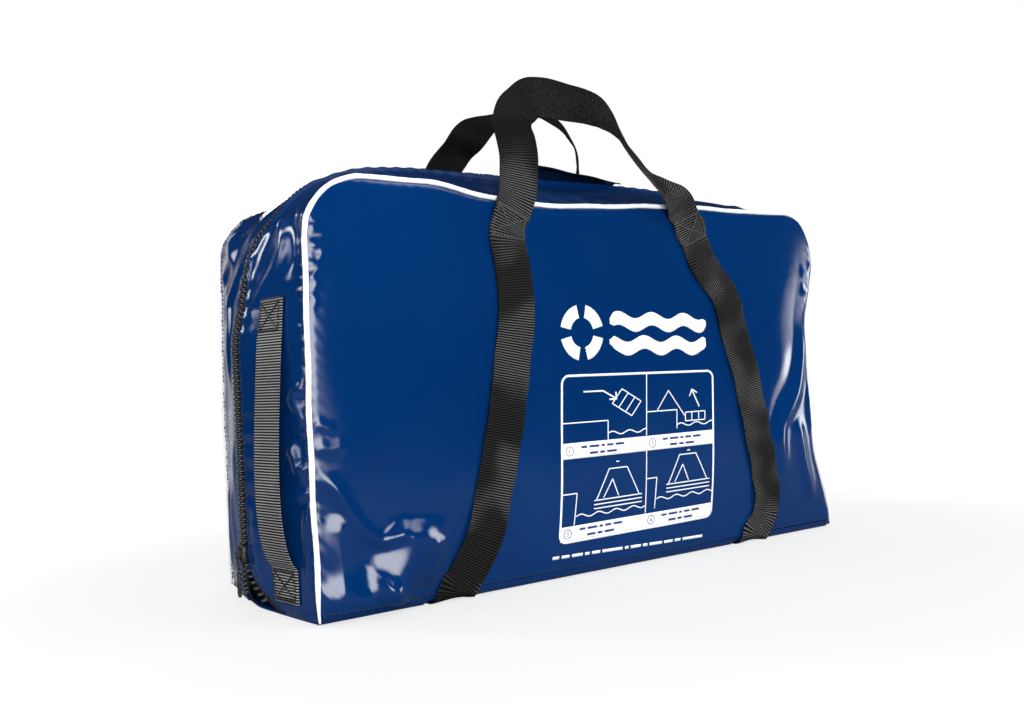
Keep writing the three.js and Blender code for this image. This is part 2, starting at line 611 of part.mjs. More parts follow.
function strap(sign, loopRows) {
  const curve = sign < 0 ? front : back;
  const legs = [
    [STRAP_LEFT_BASE, STRAP_LEFT_TOP, climb.left],
    [STRAP_RIGHT_BASE, STRAP_RIGHT_TOP, climb.right]];
  const scaleZ = (HEIGHT - RIM_DROP) / TOP_LEVEL;
  const halves = legs.map(([base, topX, rows]) => {
    const line = climbing(rows, base, topX);
    const left = [];
    const right = [];
    const push = (x, y, z, dx, dz, depth = () => y) => {
      left.push(new THREE.Vector3(x - dx, depth(x - dx, z - dz), z - dz));
      right.push(new THREE.Vector3(x + dx, depth(x + dx, z + dz), z + dz));
    };
    for (const y of [CLEARANCE / 2, FLAT_HALF / 2, FLAT_HALF])
      push(base, sign * y, WEBBING_THICK / 2, WEBBING / 2, 0);
    for (const t of [0.2, 0.4, 0.6, 0.8, 1]) {
      const a = t * QUARTER;
      const radius = BASE_TURN - STRAP_RELIEF * Math.cos(a) ** 2 +
        mix(CLEARANCE, STRAP_LIFT + FABRIC / 2, t) + WEBBING_THICK / 2;
      push(mix(base, line(STRAP_Z0), t * 0.5), sign * (FLAT_HALF + radius * Math.sin(a)),
        BASE_TURN - radius * Math.cos(a), WEBBING / 2, 0);
    }
    for (const z0 of [...steps(20, 344, 18), 356, 366, TOP_LEVEL]) {
      const z = z0 * scaleZ;
      const x = line(z0);
      const slope = (line(z0 + 2) - line(z0 - 2)) / 4;
      const n = Math.hypot(1, slope);
      const over = Math.min(Math.max((z0 - 352) / 14, 0), 1) * (PIPING / 2 + CLEARANCE);
      push(x, 0, z, WEBBING / 2 / n, (-slope * WEBBING) / 2 / n, (ex, ez) =>
        sign * (HALF_D + Math.max(bulge(curve, ex, ez), 0) + FABRIC / 2 + STRAP_LIFT +
          WEBBING_THICK / 2 + over));
    }
    return { left, right };
  });
  const rimZ = TOP_LEVEL * scaleZ + 6;
  const shift = (x) => mix(STRAP_LEFT_TOP, STRAP_RIGHT_TOP,
    (x - LOOP_LEFT) / (LOOP_RIGHT - LOOP_LEFT));
  const loopEdge = (i) => loopRows.map((r) => new THREE.Vector3(
    shift(r[i]), sign * (HALF_D + r[i + 1] + (r[i + 1] > 3 ? 1.5 : 0)), rimZ + r[i + 2]));
  const [a, b] = halves;
  return webbing(
    [...a.left, ...loopEdge(0), ...b.right.reverse()],
    [...a.right, ...loopEdge(3), ...b.left.reverse()]);
}
add("front_strap", strap(-1, loopFront), black);
add("back_strap", strap(1, loopBack), black);

// End handles: webbing sewn to the front half of each end, bowed off between its sewn ends
const handleLine = (z) => END_HANDLE_INSET - HALF_D +
  END_HANDLE_LEAN * ((z - END_HANDLE_BOTTOM) / (END_HANDLE_TOP - END_HANDLE_BOTTOM));
function endHandle(sign) {
  const outer = [];
  const inner = [];
  const free = [END_HANDLE_BOTTOM + END_HANDLE_SEWN, END_HANDLE_TOP - END_HANDLE_SEWN];
  const bow = END_HANDLE_BOW + (sign > 0 ? END_HANDLE_SPAN : 0);
  for (const z of steps(END_HANDLE_BOTTOM, END_HANDLE_TOP, 16)) {
    const t = Math.min(Math.max((z - free[0]) / (free[1] - free[0]), 0), 1);
    const off = END_HANDLE_LIFT + bow * Math.sin(Math.PI * t ** END_HANDLE_SAG);
    const across = steps(handleLine(z) - END_WEBBING / 2, handleLine(z) + END_WEBBING / 2, 3);
    const face = (d) => across.map((y) => {
      const p = gusset(atHeight(sign, z, y), y, off + d);
      return new THREE.Vector3(p.x, y, z);
    });
    outer.push(face(WEBBING_THICK));
    inner.push(face(0));
  }
  return plate(outer, inner);
}
add("left_end_handle", endHandle(-1), black);
add("right_end_handle", endHandle(1), black);

// Cover flap: sewn to the back half of the top, lies over the teeth, its left front corner lifted
function flap() {
  const face = (off) => steps(FLAP_LEFT, FLAP_RIGHT, 6).map((x) => {
    const s = seek((v) => crest(v)[0], x, along[9], along[21]);
    const t = (x - FLAP_LEFT) / (FLAP_RIGHT - FLAP_LEFT);
    return steps(0, 1, 4).map((k) => {
      const y = mix(FLAP_BACK, -FLAP_FRONT, k);
      const clear = k < 0.3 ? CLEARANCE : CHAIN_RISE + FLAP_OVER;
      const lift = clear + FLAP_RISE * (1 - t) * Math.max(k - 0.3, 0) / 0.7;
      const p = gusset(s, y, lift + FABRIC + off);
      return p;
    });
  });
  return plate(face(0), face(-FABRIC));
}
add("top_flap", flap(), black);

// The packed raft, a firm bundle that fills the bag
function raft() {
  const floor = STRAP_RELIEF + FABRIC + CLEARANCE * 2;
  const ys = [-1, -0.9, -0.6, 0, 0.6, 0.9, 1].map((k) => k * (HALF_D - RAFT_SLACK));
  const inset = RAFT_SLACK + FABRIC + TAPE_THICK;
  const stations = edgeStations
    .filter((s) => s > 20 && s < EDGE_LENGTH - 20);
  const loops = ys.map((y) => {
    const loop = stations.map((s) => gusset(s, y, -inset - (Math.abs(y) > HALF_D * 0.8 ? 4 : 0)));
    const first = gusset(HEM, y, -inset - 4);
    const last = gusset(EDGE_LENGTH - HEM, y, -inset - 4);
    const turn = Math.abs(y) > HALF_D * 0.8 ? BASE_TURN * 0.8 : 0;
    return [...loop, new THREE.Vector3(last.x, y, floor + turn),
      new THREE.Vector3(last.x / 2, y, floor + turn), new THREE.Vector3(0, y, floor + turn),
      new THREE.Vector3(first.x / 2, y, floor + turn), new THREE.Vector3(first.x, y, floor + turn)];
  });
  const m = loops[0].length;
  const points = loops.flat();
  const tris = [];
  for (let i = 0; i < loops.length - 1; i++)
    for (let j = 0; j < m; j++) {
      const [a, b] = [i * m + j, i * m + ((j + 1) % m)];
      tris.push([a, b, b + m], [a, b + m, a + m]);
    }
  for (const k of [0, loops.length - 1]) {
    const flat = loops[k].map((p) => new THREE.Vector2(p.x, p.z));
    const fill = THREE.ShapeUtils.triangulateShape(flat, []);
    const area = THREE.ShapeUtils.area(flat);
    for (const [a, b, c] of fill) {
      const turn = (flat[b].x - flat[a].x) * (flat[c].y - flat[a].y) -
        (flat[c].x - flat[a].x) * (flat[b].y - flat[a].y);
      const same = turn * area > 0;
      const [p, q, r] = same === (k > 0) ? [a, b, c] : [a, c, b];
      tris.push([k * m + p, k * m + q, k * m + r]);
    }
  }
  return closed(points, tris);
}
add("packed_raft", raft(), orange);

export default valise;
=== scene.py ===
"""A soft valise that holds a packed liferaft: glossy blue cloth, white piping, a zip round the
gusset, black webbing carry loops and end handles. Shapes are worked out in millimetres."""
import bpy
import numpy as np
from mathutils import Matrix


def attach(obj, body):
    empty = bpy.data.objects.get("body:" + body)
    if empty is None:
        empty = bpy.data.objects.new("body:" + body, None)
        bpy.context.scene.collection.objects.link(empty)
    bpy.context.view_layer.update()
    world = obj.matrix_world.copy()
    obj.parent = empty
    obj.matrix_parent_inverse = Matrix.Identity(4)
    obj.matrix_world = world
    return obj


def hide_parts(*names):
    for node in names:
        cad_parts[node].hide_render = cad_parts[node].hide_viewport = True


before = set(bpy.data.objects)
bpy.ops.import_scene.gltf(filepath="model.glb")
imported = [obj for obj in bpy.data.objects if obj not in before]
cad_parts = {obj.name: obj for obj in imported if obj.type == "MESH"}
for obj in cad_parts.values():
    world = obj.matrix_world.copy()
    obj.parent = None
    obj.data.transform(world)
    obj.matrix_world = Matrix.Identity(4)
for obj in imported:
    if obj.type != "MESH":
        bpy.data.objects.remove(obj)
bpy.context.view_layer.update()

# Camera
# Where the photographer stood, found from the bag's edges: low, in front of the left end, with a
# slightly tilted camera.
eye = np.array([-0.67369, -0.91987, 0.21171])
look = np.array([0.56221, 0.82696, 0.00695])
look /= np.linalg.norm(look)
upward = np.array([0.03670, -0.03335, 0.99877])
upward -= look * (upward @ look)
upward /= np.linalg.norm(upward)
rightward = np.cross(look, upward)
camera = bpy.data.objects.new("camera", bpy.data.cameras.new("camera"))
camera.data.lens = 34.97
camera.data.sensor_width = 36
camera.data.clip_start = 0.02
turn = np.eye(4)
turn[:3] = np.column_stack([rightward, upward, -look, eye])
camera.matrix_world = Matrix(turn.tolist())
bpy.context.collection.objects.link(camera)
bpy.context.scene.camera = camera

# Piping
# A 5 mm cord in a white vinyl sleeve, sewn into the seam of each big panel. It goes up one end,
# over the top and down the other end, and thins out at the two lower corners.
HALF_LENGTH, HALF_DEPTH, HEIGHT, CORNER = 338.0, 115.0, 385.0, 57.0
PIPE_RADIUS = 2.5


def turned_corner(side, turns, offsets):
    """Rows of a top corner: centre + radius * (cos a, sin a), at the angle a of each turn."""
    a = np.radians(turns)
    x = side * (HALF_LENGTH - CORNER) + CORNER * np.cos(a)
    return np.column_stack([x, HEIGHT - CORNER + CORNER * np.sin(a), a, offsets])


def straight_side(side, heights, offsets):
    """Rows of an upright end: x = side * half length, with its normal along X."""
    n = len(heights)
    a = np.full(n, np.pi if side < 0 else 0.0)
    return np.column_stack([np.full(n, side * HALF_LENGTH), heights, a, offsets])


# place along the edge: x, z, angle of the outward normal, and how far the front piping, the zip's
# crest and the back piping lie outside a plain rounded box
rim = np.vstack([
    straight_side(-1, [0, 14, 30, 100.1, 169.4, 242.55, 288.75],
                  [(0, 14, 0), (.5, 22, 0), (.5, 24, 0), (1.5, 24, 0), (1, 24, 0), (0, 24, -1),
                   (-1, 15, -2)]),
    turned_corner(-1, [180, 157.5, 135, 112.5, 90],
                  [(-2, 6, -2), (0, 1, 1), (3, -2, 5), (5.5, 4, 8), (7, 18, 9)]),
    np.column_stack([[-219.18, -151.74, -75.87, -5.62, 64.63, 140.5, 210.75],
                     [HEIGHT] * 7, [np.pi / 2] * 7,
                     [(7, 38, 9), (-3, 42, 6), (-8, 42, 4), (-6, 41, 4), (-2, 41, 4), (0, 40, 5),
                      (-1, 35, 6)]]),
    turned_corner(1, [90, 67.5, 45, 22.5, 0],
                  [(1, 18, 7), (-1, 4, 6), (-6, -2, 4), (-9, 1, 1), (-10, 6, -2)]),
    straight_side(1, [288.75, 242.55, 169.4, 100.1, 34, 14, 0],
                  [(-18, 15, -4), (-26, 24, -6), (-25, 24, -6), (-21, 24, -5), (-3, 24, -1),
                   (0, 22, 0), (0, 14, 0)]),
])
along = np.concatenate([[0], np.cumsum(np.hypot(*np.diff(rim[:, :2], axis=0).T))])
EDGE_LENGTH = along[-1]
LEFT_END, RIGHT_START = along[7], along[23]
LEFT_TURN, RIGHT_TURN = along[9], along[21]  # the middles of the two top corners
ZIP_OPEN = along[4]  # the zip's open foot lies below this place


def through(knots, values):
    """A curve through points that never overshoots: a cubic on each stretch, whose slope at a knot
    is the harmonic mean of the slopes of the two chords there, or nothing where they turn back."""
    k, v = np.asarray(knots, float), np.asarray(values, float)
    chord = np.diff(v) / np.diff(k)
    a, b = chord[:-1], chord[1:]
    both = np.where(a * b > 0, a + b, 1)
    slope = np.concatenate([chord[:1], np.where(a * b > 0, 2 * a * b / both, 0), chord[-1:]])

    def curve(x):
        x = np.asarray(x, float)
        i = np.searchsorted(k[1:-1], x, side="left")
        h = k[i + 1] - k[i]
        t = (x - k[i]) / h
        return ((1 + 2 * t) * (1 - t) ** 2 * v[i] + t * (1 - t) ** 2 * h * slope[i]
                + t * t * (3 - 2 * t) * v[i + 1] + t * t * (t - 1) * h * slope[i + 1])
    return curve


def seam_line(column):
    """The line of one seam: the plain edge plus its offset along the normal, as x(s) and z(s)."""
    out = rim[:, column]
    return (through(along, rim[:, 0] + np.cos(rim[:, 2]) * out),
            through(along, rim[:, 1] + np.sin(rim[:, 2]) * out))


front_line, crest_line, back_line = seam_line(3), seam_line(4), seam_line(5)
normal_x, normal_z = through(along, np.cos(rim[:, 2])), through(along, np.sin(rim[:, 2]))


def outward(s):
    """The unit normal (x, z) of the bag's edge at s."""
    n = np.hypot(normal_x(s), normal_z(s))
    return normal_x(s) / n, normal_z(s) / n


def together(*parts):
    """Arrays brought to one shape and joined as the coordinates of points."""
    return np.stack(np.broadcast_arrays(*parts), -1)


def cells(rows, columns, round_rows=False, round_columns=False):
    """Corner numbers of the cells of a grid whose points are numbered row by row. A round
    direction joins its last line to its first."""
    i, j = np.meshgrid(np.arange(rows if round_rows else rows - 1),
                       np.arange(columns if round_columns else columns - 1), indexing="ij")
    down, over = (i + 1) % rows, (j + 1) % columns
    return np.stack([i * columns + j, i * columns + over, down * columns + over,
                     down * columns + j], -1).reshape(-1, 4)


def sewn_piece(name, points, faces, chart=None, caps=()):
    """A mesh object at the origin from points in mm and quads, with a chart in metres as its UV
    map. The quads are turned round if the volume that they enclose comes out negative."""
    faces = np.asarray(faces)
    p = points[faces]
    volume = (np.einsum("ij,ij->i", p[:, 0], np.cross(p[:, 1], p[:, 2])).sum()
              + np.einsum("ij,ij->i", p[:, 0], np.cross(p[:, 2], p[:, 3])).sum())
    lists = faces.tolist() + [list(cap) for cap in caps]
    if volume < 0:
        lists = [quad[::-1] for quad in lists]
    mesh = bpy.data.meshes.new(name)
    mesh.from_pydata((points * 0.001).tolist(), [], lists)
    mesh.polygons.foreach_set("use_smooth", [True] * len(mesh.polygons))
    if chart is not None:
        corner = np.empty(len(mesh.loops), int)
        mesh.loops.foreach_get("vertex_index", corner)
        mesh.uv_layers.new(name="cloth").data.foreach_set("uv", chart[corner].ravel())
    mesh.update()
    piece = bpy.data.objects.new(name, mesh)
    bpy.context.collection.objects.link(piece)
    return piece


def round_bar(name, rings):
    """A bar through rings[i][j] of points, closed by a flat cap at each end."""
    n, m = rings.shape[:2]
    u = np.repeat(np.concatenate([[0], np.cumsum(np.linalg.norm(
        np.diff(rings.mean(1), axis=0), axis=1))]), m)
    v = np.tile(np.linspace(0, 15, m, endpoint=False), n)
    # a cap keeps the way round that the quads beside it have
    return sewn_piece(name, rings.reshape(-1, 3), cells(n, m, round_columns=True),
                      np.column_stack([u, v]) * 0.001,
                      (range(m - 1, -1, -1), range((n - 1) * m, n * m)))


class Shade:
    """A value in a material. Sums, products and powers of it add the Math nodes they need."""

    def __init__(self, tree, socket=None):
        self.tree, self.socket = tree, socket

    def node(self, kind, settings, values, output=0):
        """Adds a node of that kind: its settings first, then the value or link of each socket."""
        made = self.tree.nodes.new(kind)
        for key, setting in settings.items():
            if key == "stops":
                ramp = made.color_ramp.elements
                for _ in range(len(setting) - 2):
                    ramp.new(0.5)
                for stop, (place, colour) in zip(ramp, setting):
                    stop.position, stop.color = place, (*colour, 1)
            else:
                setattr(made, key, setting)
        for key, value in values.items():
            self.feed(made.inputs[key], value)
        return Shade(self.tree, made.outputs[output])

    def feed(self, socket, value):
        if isinstance(value, Shade):
            self.tree.links.new(value.socket, socket)
        else:
            socket.default_value = value

    def maths(self, operation, *values):
        return self.node("ShaderNodeMath", {"operation": operation}, dict(enumerate(values)))

    def __add__(self, other): return self.maths("ADD", self, other)
    def __radd__(self, other): return self.maths("ADD", other, self)
    def __sub__(self, other): return self.maths("SUBTRACT", self, other)
    def __rsub__(self, other): return self.maths("SUBTRACT", other, self)
    def __mul__(self, other): return self.maths("MULTIPLY", self, other)
    def __rmul__(self, other): return self.maths("MULTIPLY", other, self)
    def __truediv__(self, other): return self.maths("DIVIDE", self, other)
    def __pow__(self, other): return self.maths("POWER", self, other)
    def sine(self): return self.maths("SINE", self)
    def size(self): return self.maths("ABSOLUTE", self)
    def top(self, other): return self.maths("MAXIMUM", self, other)

    def ramp(self, low, high):
        """0 below low, 1 above high, and a soft S between them."""
        return self.node("ShaderNodeMapRange", {"interpolation_type": "SMOOTHSTEP"},
                         {0: self, 1: low, 2: high, 3: 0.0, 4: 1.0})

    def tint(self, first, second):
        """The first colour where this value is 0, the second where it is 1."""
        colour = [c if isinstance(c, Shade) else (*c, 1) for c in (first, second)]
        return self.node("ShaderNodeMix", {"data_type": "RGBA"},
                         {0: self, 6: colour[0], 7: colour[1]}, 2)


class Finish:
    """A material with one Principled shader: constants go to its own sockets."""

    def __init__(self, name, **constants):
        self.material = bpy.data.materials.new(name)
        self.material.use_nodes = True
        tree = self.material.node_tree
        tree.nodes.clear()
        self.shader = tree.nodes.new("ShaderNodeBsdfPrincipled")
        out = tree.nodes.new("ShaderNodeOutputMaterial")
        tree.links.new(self.shader.outputs[0], out.inputs[0])
        self.start = Shade(tree)
        self.place = self.start.node("ShaderNodeTexCoord", {}, {}, "Object")
        for key, value in constants.items():
            self.shader.inputs[key.replace("_", " ")].default_value = value

    def set(self, **values):
        for key, value in values.items():
            self.start.feed(self.shader.inputs[key.replace("_", " ")], value)

    def chart(self):
        """The cloth's own coordinates: metres along it and across it."""
        uv = self.start.node("ShaderNodeUVMap", {"uv_map": "cloth"}, {})
        parts = [uv.node("ShaderNodeSeparateXYZ", {}, {0: uv}, k) for k in (0, 1)]
        return uv, parts[0], parts[1]

    def cloud(self, scale, detail=2.0, rough=0.5, vector=None):
        """Soft noise from 0 to 1, scale lumps to the metre."""
        return self.start.node("ShaderNodeTexNoise", {}, {
            "Vector": vector or self.place, "Scale": scale, "Detail": detail, "Roughness": rough})

    def relief(self, height, distance, strength=1.0, under=None):
        """A Bump node: height times distance in metres."""
        values = {"Strength": strength, "Distance": distance, "Height": height}
        if under is not None:
            values["Normal"] = under
        return self.start.node("ShaderNodeBump", {}, values)


def dress(piece, finish, body="valise", stands_for=()):
    """Gives a finished piece its material and slot, and lets it ride on its body."""
    piece.data.materials.append(finish.material)
    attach(piece, body)
    if stands_for:
        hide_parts(*stands_for)
    return piece


vinyl = Finish("white_vinyl", Roughness=0.38, IOR=1.5)
smudge = vinyl.cloud(38, 4).ramp(0.55, 0.8) * 0.35
vinyl.set(Base_Color=smudge.tint((0.86, 0.875, 0.89), (0.66, 0.70, 0.76)),
          Roughness=vinyl.cloud(60) * 0.2 + 0.26,
          Normal=vinyl.relief(vinyl.cloud(420, 2) + vinyl.cloud(90, 1), 0.0006, 0.5))
HEM = 3.0  # the seams end this far above the floor
ROLL_INWARD, ROLL_FORWARD = 5.0, 3.4
for name, line, y in (("front", front_line, -HALF_DEPTH), ("back", back_line, HALF_DEPTH)):
    s = np.linspace(HEM, EDGE_LENGTH - HEM, 420)[:, None]
    a = np.linspace(0, 2 * np.pi, 14, endpoint=False)[None, :]
    end = np.minimum(s, EDGE_LENGTH - s)
    slim = PIPE_RADIUS * (0.35 + 0.65 * np.clip((end - HEM) / 26, 0, 1))
    slim = slim * (1 + 0.035 * np.sin(s / 2.6) + 0.03 * np.sin(s / 7.1 + 1))
    nx, nz = outward(s)
    wave = 0.35 * np.sin(s / 13.0) + 0.25 * np.sin(s / 29.0 + 2)
    # at the right end the loaded cloth rolls over and carries the front piping inwards with it
    z = line[1](s)
    roll = (np.clip((z - 14) / 40, 0, 1) * np.clip((292 - z) / 40, 0, 1)
            * (s > RIGHT_START) * (y < 0))
    roll = roll * roll * (3 - 2 * roll)
    out = slim * np.cos(a) + wave - ROLL_INWARD * roll
    ring = together(line[0](s) + nx * out, y - ROLL_FORWARD * roll + slim * np.sin(a), z + nz * out)
    dress(round_bar(f"{name}_piping_sleeve", ring), vinyl,
          stands_for=(f"{name}_piping",))

# Front and back panels
# One piece of PVC-coated cloth each, sewn to the piping on three sides and to the base along the
# bottom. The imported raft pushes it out, and it creases where the load pulls at the corners.
FABRIC = 1.5
BULGE, BULGE_EDGE = 10.0, 110.0
ROOF_LIMIT = HALF_LENGTH - CORNER
SEAM_TUCK = 1.6  # the cloth goes in under the piping
BASE_TURN = 9.0
SEAM_FOOT = BASE_TURN + 0.3
line_table = np.linspace(0, EDGE_LENGTH, 2400)


def end_places(side):
    """Places along the edge, from the foot up, on the left (-1) or right (1) end."""
    if side < 0:
        return line_table[line_table <= LEFT_END]
    return line_table[line_table >= RIGHT_START][::-1]


def reach_of(line, z, side):
    """x of a seam line at height z, on one end."""
    s = end_places(side)
    return np.interp(z, line[1](s), line[0](s))


def roof_of(line, x):
    """Height of a seam line over x."""
    s = line_table[(line_table > LEFT_TURN) & (line_table < RIGHT_TURN)]
    return np.interp(x, line[0](s), line[1](s))


def loaded(line, x, z):
    """How far the load pushes the cloth out: the product of three rises, from the nearer end, the
    base and the top seam, each 1 - (1 - distance / border)^2 and level beyond its border."""
    def rise(d):
        return 1 - (1 - np.clip(d / BULGE_EDGE, 0, 1)) ** 2
    level = np.clip(z, 0, HEIGHT - CORNER)
    reach = np.where(x < 0, x - reach_of(line, level, -1), reach_of(line, level, 1) - x)
    roof = roof_of(line, np.clip(x, -ROOF_LIMIT, ROOF_LIMIT))
    return np.maximum(BULGE * rise(reach) * rise(z - BASE_TURN) * rise(roof - z), 0)


def flowing(knots, values):
    """A cubic through points, whose slope at each is the slope between its two neighbours."""
    k, v = np.asarray(knots, float), np.asarray(values, float)
    slope = np.gradient(v, k, axis=0)

    def curve(x):
        i = np.clip(np.searchsorted(k, x, side="right") - 1, 0, len(k) - 2)
        h = (k[i + 1] - k[i]).reshape(-1, *[1] * (v.ndim - 1))
        t = (x - k[i]).reshape(h.shape) / h
        return ((1 + 2 * t) * (1 - t) ** 2 * v[i] + t * (1 - t) ** 2 * h * slope[i]
                + t * t * (3 - 2 * t) * v[i + 1] + t * t * (t - 1) * h * slope[i + 1])
    return curve


def run_of(points):
    """Length along a line of points."""
    return np.concatenate([[0], np.cumsum(np.linalg.norm(np.diff(points, axis=0), axis=1))])


def creases(across, up, lines):
    """Height of creased cloth: for each crease, a curve through its points, height * exp(-(d /
    width)^2) at the distance d from it, faded out over the first and last part of its length."""
    total = np.zeros(across.shape)
    for height, width, line in lines:
        line = np.array(line, float)
        run = run_of(line)
        path = flowing(run, line)(np.linspace(0, run[-1], 26))
        reach = 3.2 * width
        near = ((across > path[:, 0].min() - reach) & (across < path[:, 0].max() + reach)
                & (up > path[:, 1].min() - reach) & (up < path[:, 1].max() + reach))
        p = np.column_stack([across[near], up[near]])[:, None, :]
        a, leg = path[:-1], np.diff(path, axis=0)
        t = np.clip(((p - a) * leg).sum(-1) / (leg ** 2).sum(-1), 0, 1)
        gap = np.linalg.norm(p - a - t[..., None] * leg, axis=-1)
        best = gap.argmin(1)
        pick = np.arange(len(best))
        share = (best + t[pick, best]) / len(leg)
        fade = np.clip(np.minimum(share, 1 - share) * 4 + 0.12, 0, 1)
        total[near] += (height * np.exp(-(gap[pick, best] / width) ** 2)
                        * fade * fade * (3 - 2 * fade))
    return total


# height, width and points (x, z) of each crease
front_creases = [
    (3.1, 6, [(-337, 132), (-323, 121), (-309, 97), (-292, 75), (-280, 67), (-268, 70), (-257, 82),
              (-250, 89)]),
    (-1.7, 13, [(-352, 122), (-338, 111), (-323, 87), (-307, 65), (-295, 57), (-283, 61),
                (-272, 72), (-264, 79)]),
    (12.4, 22, [(-247, 86), (-249, 61), (-257, 42), (-271, 22), (-286, 12)]),
    (8.0, 18, [(-263, 26), (-278, 17), (-299, 16), (-318, 15), (-331, 5)]),
    (3.8, 10, [(-318, 97), (-317, 72), (-316, 42), (-318, 15)]),
    (4.0, 11, [(-228, 68), (-228, 43), (-239, 21)]),
    (1.2, 4, [(-336, 176), (-329, 172), (-318, 168)]),
    (1.5, 5, [(-336, 156), (-325, 152), (-308, 154)]),
    (0.9, 2.6, [(-333, 356), (-325, 350), (-332, 345)]),
    (1.0, 2.6, [(-333, 345), (-320, 338), (-331, 329)]),
    (1.0, 2.6, [(-334, 331), (-321, 323), (-327, 315)]),
    (0.9, 2.6, [(-336, 316), (-325, 309), (-334, 301)]),
    (0.8, 2.6, [(-336, 302), (-327, 297), (-333, 290)]),
    (0.7, 2.4, [(-337, 287), (-329, 281), (-334, 274)]),
    (3.4, 10, [(306, 252), (296, 214), (281, 170), (262, 148), (249, 135), (245, 118), (252, 66)]),
    (-1.6, 12, [(290, 232), (268, 186), (246, 160), (230, 120)]),
    (3.0, 9, [(279, 140), (286, 104), (296, 62), (306, 30)]),
    (2.2, 8, [(318, 210), (309, 160), (312, 110)]),
    (0.9, 5, [(330, 330), (318, 318), (300, 316)]),
    (0.9, 5, [(326, 300), (314, 292), (300, 296)]),
    (1.0, 9, [(-120, 34), (-60, 20), (20, 16), (100, 22)]),
]
back_creases = [(h, w, [(-x * 0.97, z) for x, z in line]) for h, w, line in front_creases
                if line[0][0] > -300] + [
    (3.2, 9, [(-330, 128), (-300, 92), (-282, 66), (-262, 78)]),
    (2.0, 8, [(-256, 62), (-278, 38), (-306, 30)])]


def panel_skin(side, x, z):
    """Distance of a panel's face from the bag's middle plane: half the depth, the load's bulge, the
    creases, slow waves of the cloth, and a dip beside the piping."""
    line, lines = (front_line, front_creases) if side < 0 else (back_line, back_creases)
    level = np.clip(z, 0, HEIGHT - CORNER)
    edge = np.minimum(np.minimum(x - reach_of(line, level, -1), reach_of(line, level, 1) - x),
                      roof_of(line, np.clip(x, -ROOF_LIMIT, ROOF_LIMIT)) - z)
    inside = np.clip(edge / 30, 0, 1)
    slow = (0.55 * np.sin(x / 61 + 1.3 * np.sin(z / 83)) + 0.45 * np.sin(z / 47 + x / 90 + 2)
            + 0.25 * np.sin(x / 23 - z / 31))
    pucker = 0.15 * np.exp(-(edge / 9) ** 2) * np.sin(z / 2.1 + x / 2.1 + 2 * np.sin(z / 17))
    return (HALF_DEPTH + FABRIC / 2 + loaded(line, x, z) + slow * inside + pucker
            + creases(x, z, lines) - 1.0 * np.exp(-(edge / 3.5) ** 2))


def stretched(steps, stops, shares):
    """Shares from 0 to 1, closer together where the cloth is creased."""
    return np.interp(np.linspace(0, 1, steps), stops, shares)


def sheet_faces(n, m):
    """Faces of a closed sheet: a grid of n by m points, the same grid under it, and the rim that
    joins them all round."""
    top = cells(n, m)
    number = np.arange(n * m).reshape(n, m)
    rim = np.concatenate([number[:-1, 0], number[-1, :-1], number[:0:-1, -1], number[0, :0:-1]])
    after = np.roll(rim, -1)
    side = np.stack([rim, after, after + n * m, rim + n * m], -1)
    return np.vstack([top, top[:, ::-1] + n * m, side])


def plate(name, outer, inner, chart):
    """A closed sheet between a grid of outer points and the same grid of inner ones."""
    return sewn_piece(name, np.vstack([outer.reshape(-1, 3), inner.reshape(-1, 3)]),
                      sheet_faces(*outer.shape[:2]), np.tile(chart.reshape(-1, 2), (2, 1)) * 0.001)


def panel_outline(line, steps_across, steps_up):
    """A Coons patch between the seam lines: each point is the mix of left and right, plus the mix
    of bottom and top, less the mix of the four corners. Gives x and z."""
    low = np.interp(SEAM_FOOT, line[1](line_table[:200]), line_table[:200])
    tail = line_table[-200:][::-1]
    high = np.interp(SEAM_FOOT, line[1](tail), tail)

    def rim_point(s):
        nx, nz = outward(s)
        return np.stack([line[0](s) - SEAM_TUCK * nx, line[1](s) - SEAM_TUCK * nz], -1)
    u, v = steps_across[:, None, None], steps_up[None, :, None]
    left = rim_point(low + (LEFT_TURN - low) * steps_up)[None]
    right = rim_point(high + (RIGHT_TURN - high) * steps_up)[None]
    top = rim_point(LEFT_TURN + (RIGHT_TURN - LEFT_TURN) * steps_across)[:, None]
    foot = left[0, 0] + (right[0, 0] - left[0, 0]) * steps_across[:, None, None]
    corners = ((1 - u) * (1 - v) * left[0, 0] + u * (1 - v) * right[0, 0]
               + (1 - u) * v * left[0, -1] + u * v * right[0, -1])
    flat = (1 - v) * foot + v * top + (1 - u) * left + u * right - corners
    return flat[..., 0], flat[..., 1]


def coated_cloth(name, deep, pale, glow=1.0):
    """Glossy PVC on a woven backing: the weave shows as a fine relief under a smooth skin, with
    faint scuffs, slow changes of colour and small creases."""
    cloth = Finish(name, IOR=1.5, Specular_IOR_Level=0.36)
    _, u, v = cloth.chart()
    thread = 2 * np.pi / 0.0017
    weave = (u * thread).sine() * (v * thread).sine()
    slow = cloth.cloud(3.2, 3, 0.55)
    cloth.set(Base_Color=slow.ramp(0.3, 0.72).tint(deep, pale),
              Roughness=cloth.cloud(9, 3).ramp(0.35, 0.75) * 0.05 + 0.075)
    fine = cloth.relief(weave, 0.00003, 0.55 * glow)
    ripple = cloth.relief(cloth.cloud(36, 1, 0.5), 0.0006, 0.15, fine)
    cloth.set(Normal=cloth.relief(cloth.cloud(11, 0, 0.5), 0.0014, 0.4, ripple))
    return cloth


